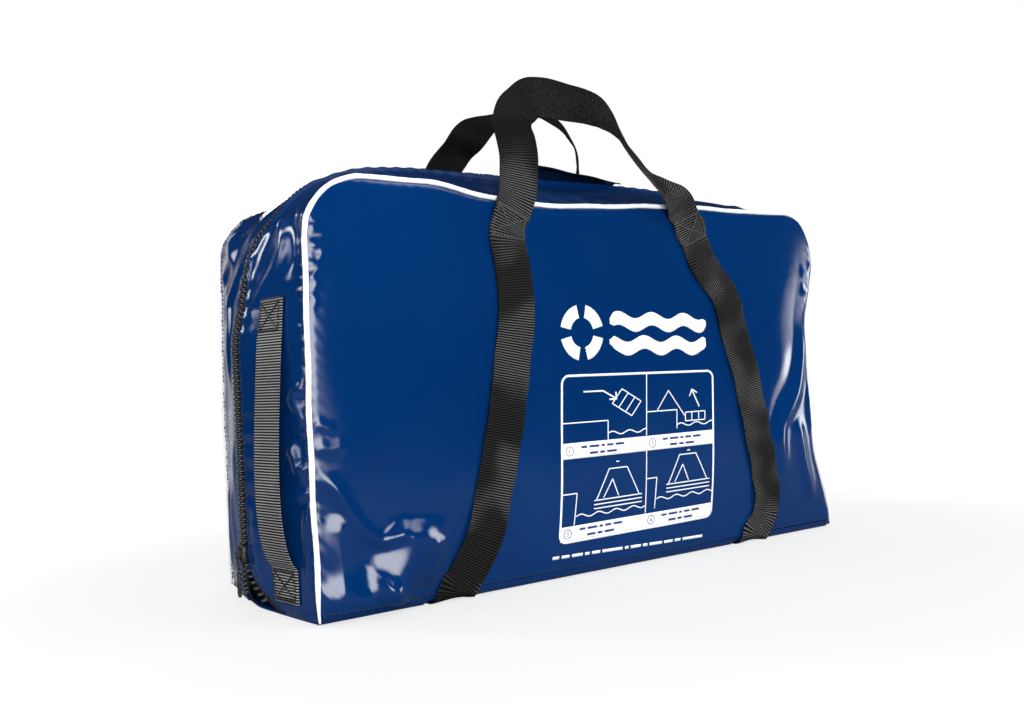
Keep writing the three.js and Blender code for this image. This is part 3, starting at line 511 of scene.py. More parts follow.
blue_cloth = coated_cloth("blue_coated_cloth", (0.0002, 0.0200, 0.096), (0.0003, 0.0246, 0.115))
across = stretched(236, [0, .36, .74, 1], [0, .17, .84, 1])
up = stretched(168, [0, .45, 1], [0, .34, 1])
for name, side, line in (("front", -1, front_line), ("back", 1, back_line)):
    x, z = panel_outline(line, across, up)
    y = side * panel_skin(side, x, z)
    outer = np.stack([x, y, z], -1)
    panel = plate(f"{name}_panel_cloth", outer, outer - [0, side * FABRIC, 0],
                  np.stack([x, z], -1))
    dress(panel, blue_cloth, stands_for=(f"{name}_panel",))

# Gusset
# Two bands of the same cloth, from each piping to the zip, round both ends and the top. Their
# inner edges are folded back and sewn to the zip tapes. Under the slider the zip is open, and the
# two bands swing apart.
SLIT = 13.0
ZIP_FOOT = 44.0
SPLAY_FRONT, SPLAY_BACK, FRONT_LIP = 42.0, 18.0, 14.0


def band(s, y, off=0.0):
    """A point of the gusset: across it goes from the seam line to the crest as g = t + t(1 - t)/4,
    where t is 0 at the seam and 1 in the middle, and off lifts it along the normal."""
    s, y, off = np.broadcast_arrays(s, y, off)
    t = np.maximum(0, 1 - np.abs(y) / HALF_DEPTH)
    g = t + 0.25 * t * (1 - t)
    ex = np.where(y < 0, front_line[0](s), back_line[0](s))
    ez = np.where(y < 0, front_line[1](s), back_line[1](s))
    nx, nz = outward(s)
    return np.stack([ex + (crest_line[0](s) - ex) * g + off * nx, y,
                     ez + (crest_line[1](s) - ez) * g + off * nz], -1)


def splay(s, reach):
    """How far an open side of the zip has swung out: reach * (1 - height / slider height)^1.3."""
    z = band(s, 0.0)[..., 2]
    t = np.where(s < ZIP_OPEN, np.clip(1 - z / ZIP_FOOT, 0, 1), 0)
    return reach * t ** 1.3


# creases of the left end: points (y, z)
left_folds = [
    (3.4, 7, [(-30, 372), (-58, 352), (-72, 334), (-62, 316), (-44, 300), (-24, 284)]),
    (-2.2, 8, [(-48, 372), (-84, 350), (-92, 322), (-80, 300)]),
    (3.0, 8, [(-18, 372), (-22, 352), (-12, 334), (-4, 316), (4, 300), (2, 270)]),
    (3.2, 8, [(8, 352), (24, 330), (44, 310), (60, 292), (50, 268), (42, 236), (40, 200)]),
    (2.4, 8, [(96, 368), (76, 346), (52, 330)]),
    (1.8, 7, [(100, 330), (84, 312), (60, 300)]),
    (-1.6, 9, [(30, 360), (66, 330), (86, 300), (70, 262)]),
    (1.9, 5, [(-100, 366), (-108, 350), (-117, 330), (-122, 298)]),
    (2.1, 6, [(-114, 212), (-102, 206), (-90, 197), (-101, 185), (-112, 172)]),
    (2.4, 6, [(-80, 158), (-90, 148), (-97, 134), (-112, 138)]),
    (-1.5, 7, [(-78, 168), (-92, 160), (-108, 156)]),
    (2.0, 5, [(-60, 98), (-72, 106), (-90, 109), (-114, 116)]),
    (2.6, 6, [(-112, 112), (-105, 92), (-104, 70), (-106, 44), (-108, 22)]),
    (1.6, 6, [(-50, 20), (-30, 34), (-22, 60), (-20, 100)]),
    (1.7, 9, [(20, 60), (34, 100), (30, 160)]),
    (2.2, 8, [(24, 20), (46, 40), (60, 76), (56, 120)]),
    (2.2, 7, [(100, 20), (84, 44), (80, 80), (92, 120)]),
    (1.4, 8, [(100, 180), (80, 210), (84, 250)]),
]
# creases of the top: points (x, y)
top_folds = [
    (2.6, 8, [(-262, -92), (-236, -70), (-206, -58), (-160, -50)]),
    (2.2, 7, [(-280, -60), (-262, -40), (-240, -16)]),
    (2.4, 8, [(-286, 30), (-262, 44), (-220, 40), (-180, 56)]),
    (-1.4, 9, [(-240, -90), (-190, -76), (-140, -72)]),
    (1.6, 9, [(-130, -84), (-90, -58), (-40, -48)]),
    (1.4, 9, [(-20, -92), (20, -60), (70, -54)]),
    (1.6, 9, [(110, -88), (150, -62), (200, -58)]),
    (2.2, 8, [(230, -92), (252, -66), (280, -50)]),
    (2.2, 8, [(220, 30), (256, 44), (284, 66)]),
    (1.6, 9, [(-60, 60), (0, 78), (60, 66)]),
    (1.6, 9, [(100, 84), (160, 66), (210, 80)]),
]
# the right end is creased like the left one, without the crumple round the open zip
right_folds = [(h * 0.9, w, [(-y * 0.9, z * 0.96 + 8) for y, z in line])
               for h, w, line in left_folds if line[0][1] > 60]


def band_creases(s, y):
    """Lift of the gusset's cloth: the creases drawn for each side, slow waves, puckers along the
    two seams that die away from them, and a rolled edge beside the zip."""
    p = band(s, y)
    nx, nz = outward(s)
    lift = (creases(p[..., 1], p[..., 2], left_folds) * np.clip(-nx * 1.6, 0, 1)
            + creases(p[..., 1], p[..., 2], right_folds) * np.clip(nx * 1.6, 0, 1)
            + creases(p[..., 0], p[..., 1], top_folds) * np.clip(nz * 1.6, 0, 1) ** 2)
    seam = HALF_DEPTH - np.abs(y)
    lift += 0.75 * np.exp(-seam / 8) * (np.sin(s / 1.9 + 2.2 * np.sin(s / 23)) - 0.3)
    lift += 0.5 * np.exp(-seam / 22) * np.sin(s / 5.3 + 1.7 * np.sin(s / 37) + y / 11)
    zip_side = np.clip(np.abs(y) - SLIT / 2, 0, None)
    lift += 0.5 * np.exp(-zip_side / 12) * np.sin(s / 3.1 + 2.5 * np.sin(s / 41))
    middle = np.clip(seam / 25, 0, 1) * np.clip(zip_side / 20, 0, 1)
    lift += middle * (0.9 * np.sin(s / 27 + y / 19 + 1.4 * np.sin(s / 71))
                      + 0.6 * np.sin(s / 41 - y / 13))
    return lift - 0.9 * np.exp(-(seam / 4) ** 2)


def fold_roll(from_edge):
    """Height of the folded edge beside the zip: a round ridge 1.6 mm in from it."""
    return 1.1 * np.exp(-((from_edge - 1.6) / 2.4) ** 2)


for name, side in (("front", -1), ("back", 1)):
    s = np.linspace(HEM, EDGE_LENGTH - HEM, 900)
    s = np.unique(np.concatenate([np.linspace(HEM, ZIP_OPEN, 130), s[s > ZIP_OPEN]]))[:, None]
    reach = SPLAY_FRONT + FRONT_LIP if side < 0 else SPLAY_BACK
    t = np.concatenate([np.linspace(0, 0.9, 40), [0.94, 0.965, 0.985, 1.0]])[None, :]
    edge = SLIT / 2 + splay(s, reach)
    y = side * ((HALF_DEPTH - SEAM_TUCK) * (1 - t) + edge * t)
    from_edge = np.abs(y) - edge
    rolled = fold_roll(from_edge) - 1.0 * np.exp(-(from_edge / 0.9) ** 2)
    if side < 0:
        # along the top the front edge stands up and hides the teeth from the front
        rolled = rolled + (3.4 * np.clip(outward(s)[1], 0, 1) ** 3
                           * np.exp(-((from_edge - 2.5) / 6.0) ** 2))
    lift = band_creases(s, y) + rolled
    outer = band(s, y, lift)
    inner = band(s, y, lift - FABRIC)
    gusset = plate(f"{name}_gusset_cloth", outer, inner,
                   together(s, y))
    dress(gusset, blue_cloth, stands_for=(f"{name}_gusset",))

# Base
# One sheet of the same cloth under the load, which turns up at the front and back edges and is
# sewn to the panels. It rises a little over the two straps that pass under it.
WEBBING, WEBBING_THICK = 42.0, 1.8
STRAP_BASE = (-208.0, 194.5)
FLAT_HALF = HALF_DEPTH - BASE_TURN
relief_depth = WEBBING_THICK + 0.3
u = np.linspace(0, 1, 420)[:, None]
turn_angle = np.radians(np.linspace(90, 0, 12))
arc = np.concatenate([turn_angle, np.linspace(0, 0, 22), -turn_angle[::-1]])
flat_y = np.concatenate([np.full(12, -FLAT_HALF), np.linspace(-FLAT_HALF, FLAT_HALF, 24)[1:-1],
                         np.full(12, FLAT_HALF)])
reach_y = np.clip(flat_y - BASE_TURN * np.sin(arc), -112.2, 112.2)
left_edge = band(HEM, reach_y, -FABRIC - 2.0)[..., 0]
right_edge = band(EDGE_LENGTH - HEM, reach_y, -FABRIC - 2.0)[..., 0]
x = left_edge + (right_edge - left_edge) * u
strap_near = np.max([np.clip(1 - (np.abs(x - c) - WEBBING / 2 - 2) / 3, 0, 1)
                     for c in STRAP_BASE], axis=0)
sheets = []
for inward in (0.0, FABRIC):
    radius = BASE_TURN - relief_depth * strap_near * np.cos(arc) ** 2 - inward
    radius = np.where(np.abs(arc) > 1.56, radius + 0.9 - inward * 0.2, radius)
    y = flat_y - radius * np.sin(arc)
    z = BASE_TURN - radius * np.cos(arc) + 0.12 * np.sin(x / 9) * np.sin(np.abs(arc))
    sheets.append(np.stack([x, y, z], -1))
length_across = run_of(np.column_stack([flat_y - BASE_TURN * np.sin(arc),
                                        -np.cos(arc) * BASE_TURN]))
base = plate("base_cloth", sheets[0], sheets[1],
             together(x, length_across))
dress(base, blue_cloth, stands_for=("base_panel",))

# Seam stitching
# Strong dark thread through the cloth: a row along the bottom of each panel, one beside each
# piping on the gusset, and one along each side of the zip.


def unit(rows, square_to=None):
    """Rows made one long, after what lies along a second direction is taken out of them."""
    if square_to is not None:
        rows = rows - square_to * (rows * square_to).sum(1, keepdims=True)
    return rows / np.linalg.norm(rows, axis=1, keepdims=True)


def sampled(places, run, values):
    """The rows that belong to places along a run, on straight lines between those given."""
    return np.stack([np.interp(places, run, column) for column in values.T], -1)


def stitches(name, path, outwards, stitch=3.2, gap=1.3, thick=0.5):
    """One thread bead for each stitch, put along a path: the bead's rings are a six-sided round
    whose width goes as the root of 1 - t^2 along it."""
    run = run_of(path)
    pitch = stitch + gap
    starts = np.arange(pitch / 2, run[-1] - pitch / 2, pitch)
    middle = sampled(starts, run, path)
    along_it = unit(sampled(starts + stitch / 2, run, path)
                    - sampled(starts - stitch / 2, run, path))
    up_it = unit(sampled(starts, run, outwards), along_it)
    side_it = np.cross(along_it, up_it)
    t = np.array([-0.97, -0.6, 0.0, 0.6, 0.97])[:, None]
    a = np.linspace(0, 2 * np.pi, 6, endpoint=False)[None, :]
    width = thick * np.sqrt(1 - t * t)
    shape = together(t * stitch / 2, width * np.cos(a), width * np.sin(a) * 0.7 + 0.1)
    shape = shape.reshape(-1, 3)
    points = (middle[:, None] + shape[None, :, 0:1] * along_it[:, None]
              + shape[None, :, 1:2] * side_it[:, None] + shape[None, :, 2:3] * up_it[:, None])
    count, size = points.shape[:2]
    quad = cells(5, 6, round_columns=True)
    ends = np.array([[0, 1, 2, 3], [0, 3, 4, 5], [24, 27, 26, 25], [24, 29, 28, 27]])[:, ::-1]
    each = np.vstack([quad, ends])
    faces = (each[None] + size * np.arange(count)[:, None, None]).reshape(-1, 4)
    return sewn_piece(name, points.reshape(-1, 3), faces)


thread = Finish("dark_thread", Roughness=0.55, IOR=1.5)
thread.set(Base_Color=thread.cloud(900).tint((0.004, 0.006, 0.014), (0.018, 0.022, 0.035)),
           Normal=thread.relief(thread.cloud(2600), 0.0002, 0.5))
for name, side in (("front", -1), ("back", 1)):
    line = front_line if side < 0 else back_line
    x = np.linspace(-333, 333, 500)
    z = np.full(500, SEAM_FOOT + 1.2) + 0.25 * np.sin(x / 40)
    path = np.column_stack([x, side * (panel_skin(side, x, z) + 0.1), z])
    row = stitches(f"{name}_bottom_stitching", path, np.tile([0.0, side, 0.0], (500, 1)))
    dress(row, thread)
    s = np.linspace(HEM + 6, EDGE_LENGTH - HEM - 6, 1200)
    nx, nz = outward(s)
    edge = SLIT / 2 + splay(s, SPLAY_FRONT + FRONT_LIP if side < 0 else SPLAY_BACK)
    for where, away in (("seam", np.full(s.shape, HALF_DEPTH - 6.0)), ("zip", edge + 3.4)):
        y = side * away
        path = band(s, y, band_creases(s, y) + fold_roll(away - edge) + 0.1)
        row = stitches(f"{name}_{where}_stitching", path, together(nx, 0.0, nz))
        dress(row, thread)

# Zip tapes and teeth
# Two black woven tapes under the gusset's edges carry moulded plastic teeth, 5 mm apart on each
# side. Above the slider the teeth mesh. Below it each tape keeps its own open row.
PITCH, CHAIN_RISE = 5.0, 3.0
TAPE, TAPE_THICK = 20.0, 1.2
TAPE_OUT = -FABRIC - 0.8
woven_tape = Finish("zip_tape_weave", Roughness=0.7, IOR=1.45)
_, u, v = woven_tape.chart()
rib = (v * (2 * np.pi / 0.0011)).sine() * 0.5 + (u * (2 * np.pi / 0.0018)).sine() * 0.5
woven_tape.set(Base_Color=woven_tape.cloud(60).tint((0.006, 0.006, 0.008), (0.016, 0.017, 0.02)),
               Roughness=woven_tape.cloud(25) * 0.3 + 0.5,
               Normal=woven_tape.relief(rib, 0.0003, 0.7))
for name, side, reach in (("front", -1, SPLAY_FRONT), ("back", 1, SPLAY_BACK)):
    s = np.unique(np.concatenate([np.linspace(HEM, ZIP_OPEN, 120),
                                  np.linspace(ZIP_OPEN, EDGE_LENGTH - HEM, 500)]))[:, None]
    w = np.linspace(0, TAPE, 9)[None, :]
    y = side * (0.15 + splay(s, reach) + w)
    tape = plate(f"{name}_zip_tape_cloth", band(s, y, TAPE_OUT + 0.0 * y),
                 band(s, y, TAPE_OUT - TAPE_THICK + 0.0 * y),
                 together(s, y))
    dress(tape, woven_tape, stands_for=(f"zip_tape_{name}",))

crest_run = run_of(band(line_table, np.zeros(line_table.shape)))
low_table = line_table[line_table < ZIP_OPEN]
station_foot = np.interp(ZIP_FOOT, band(low_table, 0.0 * low_table)[:, 2], low_table)
chain_start = np.interp(station_foot, line_table, crest_run)
chain_end = crest_run[-1] - 25.6
tooth_count = int((chain_end - chain_start) / PITCH)


def teeth_at(runs, side, middle):
    """Points and faces of teeth at these runs along the crest, on one side of the line y = middle:
    a block with cut corners, narrowing to its top, in the frame (along, across, out)."""
    s = np.interp(runs, crest_run, line_table)
    y = middle(s)
    base_point = band(s, y)
    ahead = unit(band(s + 0.5, y) - band(s - 0.5, y))
    sideways = unit(np.tile([0.0, 1.0, 0.0], (len(s), 1)), ahead)
    nx, nz = outward(s)
    out = np.cross(ahead, sideways)
    out *= np.sign((out * np.column_stack([nx, 0 * nx, nz])).sum(1, keepdims=True))
    ring = np.array([(-1.2, 0.5), (-0.8, -0.7), (0.8, -0.7), (1.2, 0.5), (1.2, 3.6), (0.7, 4.6),
                     (-0.7, 4.6), (-1.2, 3.6)])
    levels = np.array([(-1.9, 1.0), (1.9, 1.0), (2.7, 0.86), (3.0, 0.55)])
    centre = np.array([0.0, 2.0])
    placed = centre + (ring - centre) * levels[:, 1, None, None]
    shape = together(placed[..., 0], placed[..., 1], levels[:, :1]).reshape(-1, 3)
    points = (base_point[:, None] + shape[None, :, 0:1] * ahead[:, None]
              + side * shape[None, :, 1:2] * sideways[:, None]
              + shape[None, :, 2:3] * out[:, None])
    quad = cells(4, 8, round_columns=True)
    cap = np.array([[0, 1, 2, 3], [0, 3, 4, 7], [7, 4, 5, 6]])
    each = np.vstack([quad, cap, cap[:, ::-1] + 24])
    faces = each[None] + 32 * np.arange(len(s))[:, None, None]
    return points.reshape(-1, 3), faces.reshape(-1, 4)


tooth_plastic = Finish("moulded_tooth_plastic", Roughness=0.32, IOR=1.5)
tooth_plastic.set(Base_Color=tooth_plastic.cloud(700).tint((0.008, 0.008, 0.010),
                                                           (0.026, 0.027, 0.031)),
                  Roughness=tooth_plastic.cloud(300) * 0.25 + 0.2,
                  Normal=tooth_plastic.relief(tooth_plastic.cloud(1500), 0.0001, 0.4))
(front_points, front_faces), (back_points, back_faces) = (
    teeth_at(chain_start + shift + PITCH * np.arange(tooth_count), side, lambda s: 0.0 * s)
    for side, shift in ((-1, PITCH / 4), (1, PITCH * 3 / 4)))
chain = sewn_piece("closed_teeth", np.vstack([front_points, back_points]),
                   np.vstack([front_faces[:, ::-1], back_faces + len(front_points)]))
dress(chain, tooth_plastic, stands_for=("zip_chain",))
for name, side, reach in (("front", -1, SPLAY_FRONT), ("back", 1, SPLAY_BACK)):
    run = chain_start - 1.5 - PITCH * np.arange(int((chain_start - HEM - 4) / PITCH))
    points, faces = teeth_at(run, side, lambda s: side * (splay(s, reach) + 0.9))
    row = sewn_piece(f"{name}_open_teeth", points, faces)
    dress(row, tooth_plastic, stands_for=(f"zip_row_{name}",))

# Slider and pull
# A die-cast slider, painted black, straddles the teeth, and its flat pull with a slot hangs from
# the bridge on its face.
painted = Finish("black_painted_casting", Metallic=0.35, IOR=1.5)
painted.set(Base_Color=painted.cloud(500, 3).ramp(0.45, 0.75).tint((0.012, 0.012, 0.014),
                                                                 (0.05, 0.05, 0.055)),
            Roughness=painted.cloud(220, 3) * 0.25 + 0.25,
            Normal=painted.relief(painted.cloud(900), 0.0001, 0.5))
SLIDER_LENGTH = 18.0
crest_x = -(HALF_LENGTH + 24.0)
saddle_top = 5.4


def rounded_ring(half_a, half_b, corner, n=32):
    """Points of a rounded rectangle: the corner's circle, pushed out to the box's four corners."""
    a = (np.arange(n) + 0.5) * 2 * np.pi / n
    return np.column_stack([np.sign(np.cos(a)) * (half_a - corner) + corner * np.cos(a),
                            np.sign(np.sin(a)) * (half_b - corner) + corner * np.sin(a)])


def cast_block(name, outs, halves_y, halves_z, middle_z, corner):
    """A lofted block: rounded rings in the Y-Z plane at each distance out of the crest."""
    rings = np.stack([np.column_stack([np.full(32, crest_x - out),
                                       rounded_ring(hy, hz, min(corner, hy, hz) * 0.98)
                                       + [0, middle_z]])
                      for out, hy, hz in zip(outs, halves_y, halves_z)])
    return round_bar(name, rings)


middle_z = ZIP_FOOT + SLIDER_LENGTH / 2
body = cast_block("slider_shell", [-1.0, 3.6, 4.9, 5.4], [7.4, 7.4, 6.7, 5.2],
                  [9.0, 9.0, 8.3, 7.0], middle_z, 3.2)
dress(body, painted, "slider", ("zip_slider",))
bridge_arc = np.linspace(0, np.pi, 15)
bridge_path = np.column_stack([crest_x - saddle_top - 3.4 * np.sin(bridge_arc) ** 0.6,
                               0 * bridge_arc, middle_z - 5.2 * np.cos(bridge_arc)])


def bent_bar(name, path, half_wide, half_thick, wide=(0, 1, 0), sides=10):
    """A bar of oval section carried along a path, its wide way across it."""
    ahead = unit(np.gradient(path, axis=0))
    wide = unit(np.tile(np.array(wide, float), (len(path), 1)), ahead)
    thick = np.cross(ahead, wide)
    a = np.linspace(0, 2 * np.pi, sides, endpoint=False)
    return round_bar(name, path[:, None] + half_wide * np.cos(a)[None, :, None] * wide[:, None]
                     + half_thick * np.sin(a)[None, :, None] * thick[:, None])


dress(bent_bar("slider_bridge", bridge_path, 1.5, 0.8), painted, "slider")
# the pull hangs from the bridge: an eye at its top, then a flat tab with a slot
pin_x, pin_z = crest_x - 6.7, 49.65
tab_top = pin_z + 0.75
tab_side = rounded_ring(3.5, 12.0, 3.0, 40) + [0, tab_top - 26.0]
tab_face = rounded_ring(3.1, 11.6, 2.6, 40) + [0, tab_top - 26.0]
tab_slot = rounded_ring(1.5, 5.0, 1.4, 40) + [0, tab_top - 31.0]
tab_rings = np.stack([np.column_stack([np.full(40, pin_x - out), ring]) for out, ring in (
    (0.6, tab_side), (1.0, tab_face), (1.0, tab_slot), (-1.0, tab_slot), (-1.0, tab_face),
    (-0.6, tab_side))])
tab = sewn_piece("pull_tab", tab_rings.reshape(-1, 3),
                 cells(6, 40, round_rows=True, round_columns=True))
dress(tab, painted, "pull", ("zip_pull",))
eye_ring = rounded_ring(2.85, 5.9, 2.3, 40) + [0, tab_top - 6.6]
around = np.linspace(0, 2 * np.pi, 8, endpoint=False)
flat = np.column_stack([np.full(40, pin_x), eye_ring])
inward_dir = unit(flat.mean(0) - flat)
eye_points = (flat[:, None] + 0.75 * np.cos(around)[None, :, None] * inward_dir[:, None]
              + 0.75 * np.sin(around)[None, :, None] * np.array([1.0, 0, 0]))
ring = sewn_piece("pull_eye", eye_points.reshape(-1, 3),
                  cells(40, 8, round_rows=True, round_columns=True))
dress(ring, painted, "pull")

# Carry straps
# One length of 42 mm black nylon webbing on each side: it passes under the base, climbs the panel
# in two legs, leaves it under the top edge as the carry loop, and is held by a crossed box of
# stitches under each end of the loop.
STRAP_FOOT, TOP_LEVEL = 14.0, 374.0
# share of the way from the left to the right leg, distance from the panel, height over the top
# edge: first the outer edge of the webbing, then its inner edge
front_loop = [
    (-132, 2, 16, -91, 6, 30), (-130, 1, 36, -89, 6, 47), (-132, -2, 55, -89, 4, 64),
    (-132, -6, 75, -88, 0, 78), (-124, -8, 93, -86, -4, 85), (-104, -11, 110, -86, -5, 85),
    (-84, -12, 127, -82, -8, 86), (-65, -12, 130, -68, -12, 88), (-46, -12, 129, -54, -10, 88),
    (-23, -14, 128, -37, -8, 88), (-4, -14, 125, -20, -6, 87), (14, -14, 119, -6, -3, 83),
    (27, -16, 108, 2, 2, 78), (37, -17, 94, 9, 6, 74), (44, -17, 82, 15, 9, 69),
    (50, -16, 71, 19, 12, 60), (56, -13, 61, 25, 13, 51), (67, -10, 48, 34, 15, 39),
    (81, -6, 36, 47, 15, 29), (98, 0, 25, 60, 12, 21), (111, 4, 15, 68, 10, 13)]
back_loop = [
    (-112, 2, 25, -64, 2, 25), (-97, 1, 50, -45, 1, 50),
    (-86, 1, 75, -28, 1, 77), (-68, -1, 98, -12, -3, 98), (-52, -4, 118, -5, -15, 111),
    (-30, -1, 135, 2, -23, 124), (-4, 5, 150, 17, -27, 139), (31, 11, 162, 37, -29, 147),
    (60, 15, 170, 57, -27, 150), (93, 16, 174, 84, -23, 148), (121, 15, 170, 112, -19, 138),
    (143, 14, 158, 131, -17, 126), (154, 13, 144, 136, -18, 113), (162, 13, 126, 136, -20, 102),
    (166, 13, 104, 133, -23, 91), (166, 12, 79, 126, -24, 80), (162, 8, 50, 114, -10, 48),
    (150, 4, 22, 100, 2, 20)]
# height, and share of the way from the leg's foot to its top
climb_left = [(STRAP_FOOT, 0.107), (35, 0.253), (61, 0.393), (88, 0.483), (143, 0.64),
              (199, 0.781), (256, 0.893), (285, 0.916), (314, 0.893), (337, 0.865), (356, 0.91),
              (TOP_LEVEL, 1)]
climb_right = [(STRAP_FOOT, -0.118), (33, -0.237), (50, -0.26), (67, -0.237), (102, -0.156),
               (120, -0.098), (155, -0.012), (189, 0.064), (224, 0.197), (258, 0.318),
               (275, 0.376), (291, 0.457), (308, 0.63), (324, 0.775), (342, 0.838), (364, 0.954),
               (TOP_LEVEL, 1)]


def strap_leg(side, foot_x, top_x, climb):
    """Left and right edge points of one leg: flat under the base, round the bottom edge, then up
    the panel's own surface. The leg's middle is a curve through the climb's points, and its edges
    lie half a width to each side, across the way it goes."""
    climb = np.array(climb, float)
    way = through(climb[:, 0], foot_x + (top_x - foot_x) * climb[:, 1])

    def line(height):
        return way(np.clip(height, STRAP_FOOT, TOP_LEVEL))
    lie = side * np.array([0.15, FLAT_HALF / 4, FLAT_HALF / 2, FLAT_HALF * 0.8, FLAT_HALF])
    half = WEBBING / 2
    flat_l = np.column_stack([np.full(5, foot_x - half), lie, np.full(5, WEBBING_THICK / 2)])
    t = np.array([0.2, 0.4, 0.6, 0.8, 1.0])
    a = t * np.pi / 2
    radius = (BASE_TURN - relief_depth * np.cos(a) ** 2 + 0.3 + (0.6 + FABRIC / 2 - 0.3) * t
              + WEBBING_THICK / 2)
    bend_x = foot_x + (line(STRAP_FOOT) - foot_x) * t * 0.5
    bend_l = np.column_stack([bend_x - half, side * (FLAT_HALF + radius * np.sin(a)),
                              BASE_TURN - radius * np.cos(a)])
    z = np.concatenate([np.linspace(20, 344, 55), [350, 356, 361, 366, 370, TOP_LEVEL]])
    x = line(z)
    # the way it goes is taken over 40 mm, because stiff webbing doesn't bend sharply sideways
    above, below = np.minimum(z + 20, TOP_LEVEL), np.maximum(z - 20, STRAP_FOOT)
    slope = (line(above) - line(below)) / (above - below)
    n = np.hypot(1, slope)
    over = np.clip((z - 352) / 14, 0, 1) * (PIPE_RADIUS + 0.3)
    edges = []
    for k in (-1, 1):
        ex, ez = x + k * half / n, z + k * slope * half / n
        skin = HALF_DEPTH + loaded(front_line if side < 0 else back_line, ex, ez) + FABRIC / 2
        real = panel_skin(side, ex, np.minimum(ez, 376))
        depth = np.maximum(skin, real) + 0.5 + WEBBING_THICK / 2 + over
        up = np.column_stack([ex, side * depth, ez])
        flat, bend = flat_l.copy(), bend_l.copy()
        flat[:, 0] += (k + 1) * half
        bend[:, 0] += (k + 1) * half
        edges.append(np.vstack([flat, bend, up]))
    return edges


def carry_strap(side, loop):
    """Middle, across and face directions of a whole strap, every 3 mm: up the left leg, round the
    loop and down the right leg, as a flowing curve through the edge points."""
    loop = np.array(loop, float)
    left_foot, left_top, right_foot, right_top = STRAP_BASE[0], -119.0, STRAP_BASE[1], 108.0
    a = strap_leg(side, left_foot, left_top, climb_left)
    b = strap_leg(side, right_foot, right_top, climb_right)
    edges = []
    for i, (first, last) in ((0, (a[0], b[1])), (3, (a[1], b[0]))):
        lifted = loop[:, i + 1] + np.where(loop[:, i + 1] > 3, 1.5, 0)
        middle = np.column_stack([loop[:, i], side * (HALF_DEPTH + lifted),
                                  TOP_LEVEL + 6 + loop[:, i + 2]])
        edges.append(np.vstack([first, middle, last[::-1]]))
    middle = (edges[0] + edges[1]) / 2
    wide = unit(edges[1] - edges[0])
    run = run_of(middle)
    fine = np.linspace(0, run[-1], int(run[-1] / 3))
    centre = flowing(run, middle)(fine)
    wide = flowing(run, wide)(fine)
    ahead = unit(np.gradient(centre, axis=0))
    wide = unit(wide, ahead)
    face = np.cross(wide, ahead)
    outwards = np.sign((face * [0, side, 0]).sum(1)[: len(fine) // 4].sum())
    free = np.clip((fine - 130) / 30, 0, 1) * np.clip((run[-1] - 130 - fine) / 30, 0, 1)
    dip = free * (0.8 * np.sin(fine / 8.7 + 1.8 * np.sin(fine / 47))
                  + 0.7 * np.sin(fine / 19 + side) + 1.3)
    centre = centre + face * (outwards * dip)[:, None]
    return fine, centre, wide, face


def webbing_strip(name, run, centre, wide, face, half=WEBBING / 2):
    """Woven webbing: across it a flat lens, thinner at its two selvedges, carried along the run."""
    w = np.array([-1, -0.97, -0.9, -0.6, -0.2, 0.2, 0.6, 0.9, 0.97, 1.0])
    thick = WEBBING_THICK / 2 * np.array([.35, .8, 1, .93, .9, .9, .93, 1, .8, .35])
    spread = centre[:, None] + half * w[None, :, None] * wide[:, None]
    lift = thick[None, :, None] * face[:, None]
    chart = together(run[:, None], (w * half)[None, :])
    # where the strap bends under the base it is lifted as far as it would dip below the floor
    sunk = np.minimum((spread[..., 2] - np.abs(lift[..., 2])).min(1) - 0.05, 0)
    spread[..., 2] -= sunk[:, None]
    return plate(name, spread + lift, spread - lift, chart)


def ribbed_webbing(name, pale, sheen_elsewhere, shaded_above):
    """Black nylon with a raised rib every 2.5 mm. Rib crowns are painted pale as a painted
    highlight: fully in painted sheen bands, by a given share elsewhere, with painted shade above a
    given height (metres)."""
    nylon = Finish(name, IOR=1.5, Specular_IOR_Level=0.13)
    _, u, v = nylon.chart()
    height = u.node("ShaderNodeSeparateXYZ", {}, {0: nylon.place}, 2)
    rib = (u * (2 * np.pi / 0.0025)).sine()
    yarn = (v * (2 * np.pi / 0.0016) + rib * 0.9).sine()
    # painted sheen: noise bands along the webbing where the rib crowns are painted fully pale
    sheen_and_wear = nylon.cloud(15, 1).ramp(0.40, 0.60) * (1 - sheen_elsewhere) + sheen_elsewhere
    # painted shade: the rib crowns are painted darker above the given height, over the carry loops
    loop_shade = 1 - height.ramp(shaded_above - 0.03, shaded_above + 0.03) * 0.93
    # painted highlight: the crowns of the ribs painted pale in the base colour
    rib_highlight = rib.ramp(-0.15, 0.75) * (0.8 + 0.2 * yarn.ramp(-0.6, 0.8)) * sheen_and_wear * loop_shade
    nylon.set(Base_Color=rib_highlight.tint((0.0004, 0.0004, 0.0005), (pale, pale, pale)),
              Roughness=0.6 - rib_highlight * 0.15,
              Normal=nylon.relief(rib * 0.9 + yarn * 0.1, 0.0003, 1.0))
    return nylon


# carry straps: painted sheen bands on the legs, and painted shade on the loops above 0.425 m
nylon = ribbed_webbing("black_ribbed_webbing", 0.095, 0.16, 0.425)
carry = {}
for name, side, loop in (("front", -1, front_loop), ("back", 1, back_loop)):
    run, centre, wide, face = carry_strap(side, loop)
    carry[name] = (run, centre, wide, face)
    dress(webbing_strip(f"{name}_carry_webbing", run, centre, wide, face), nylon,
          stands_for=(f"{name}_strap",))


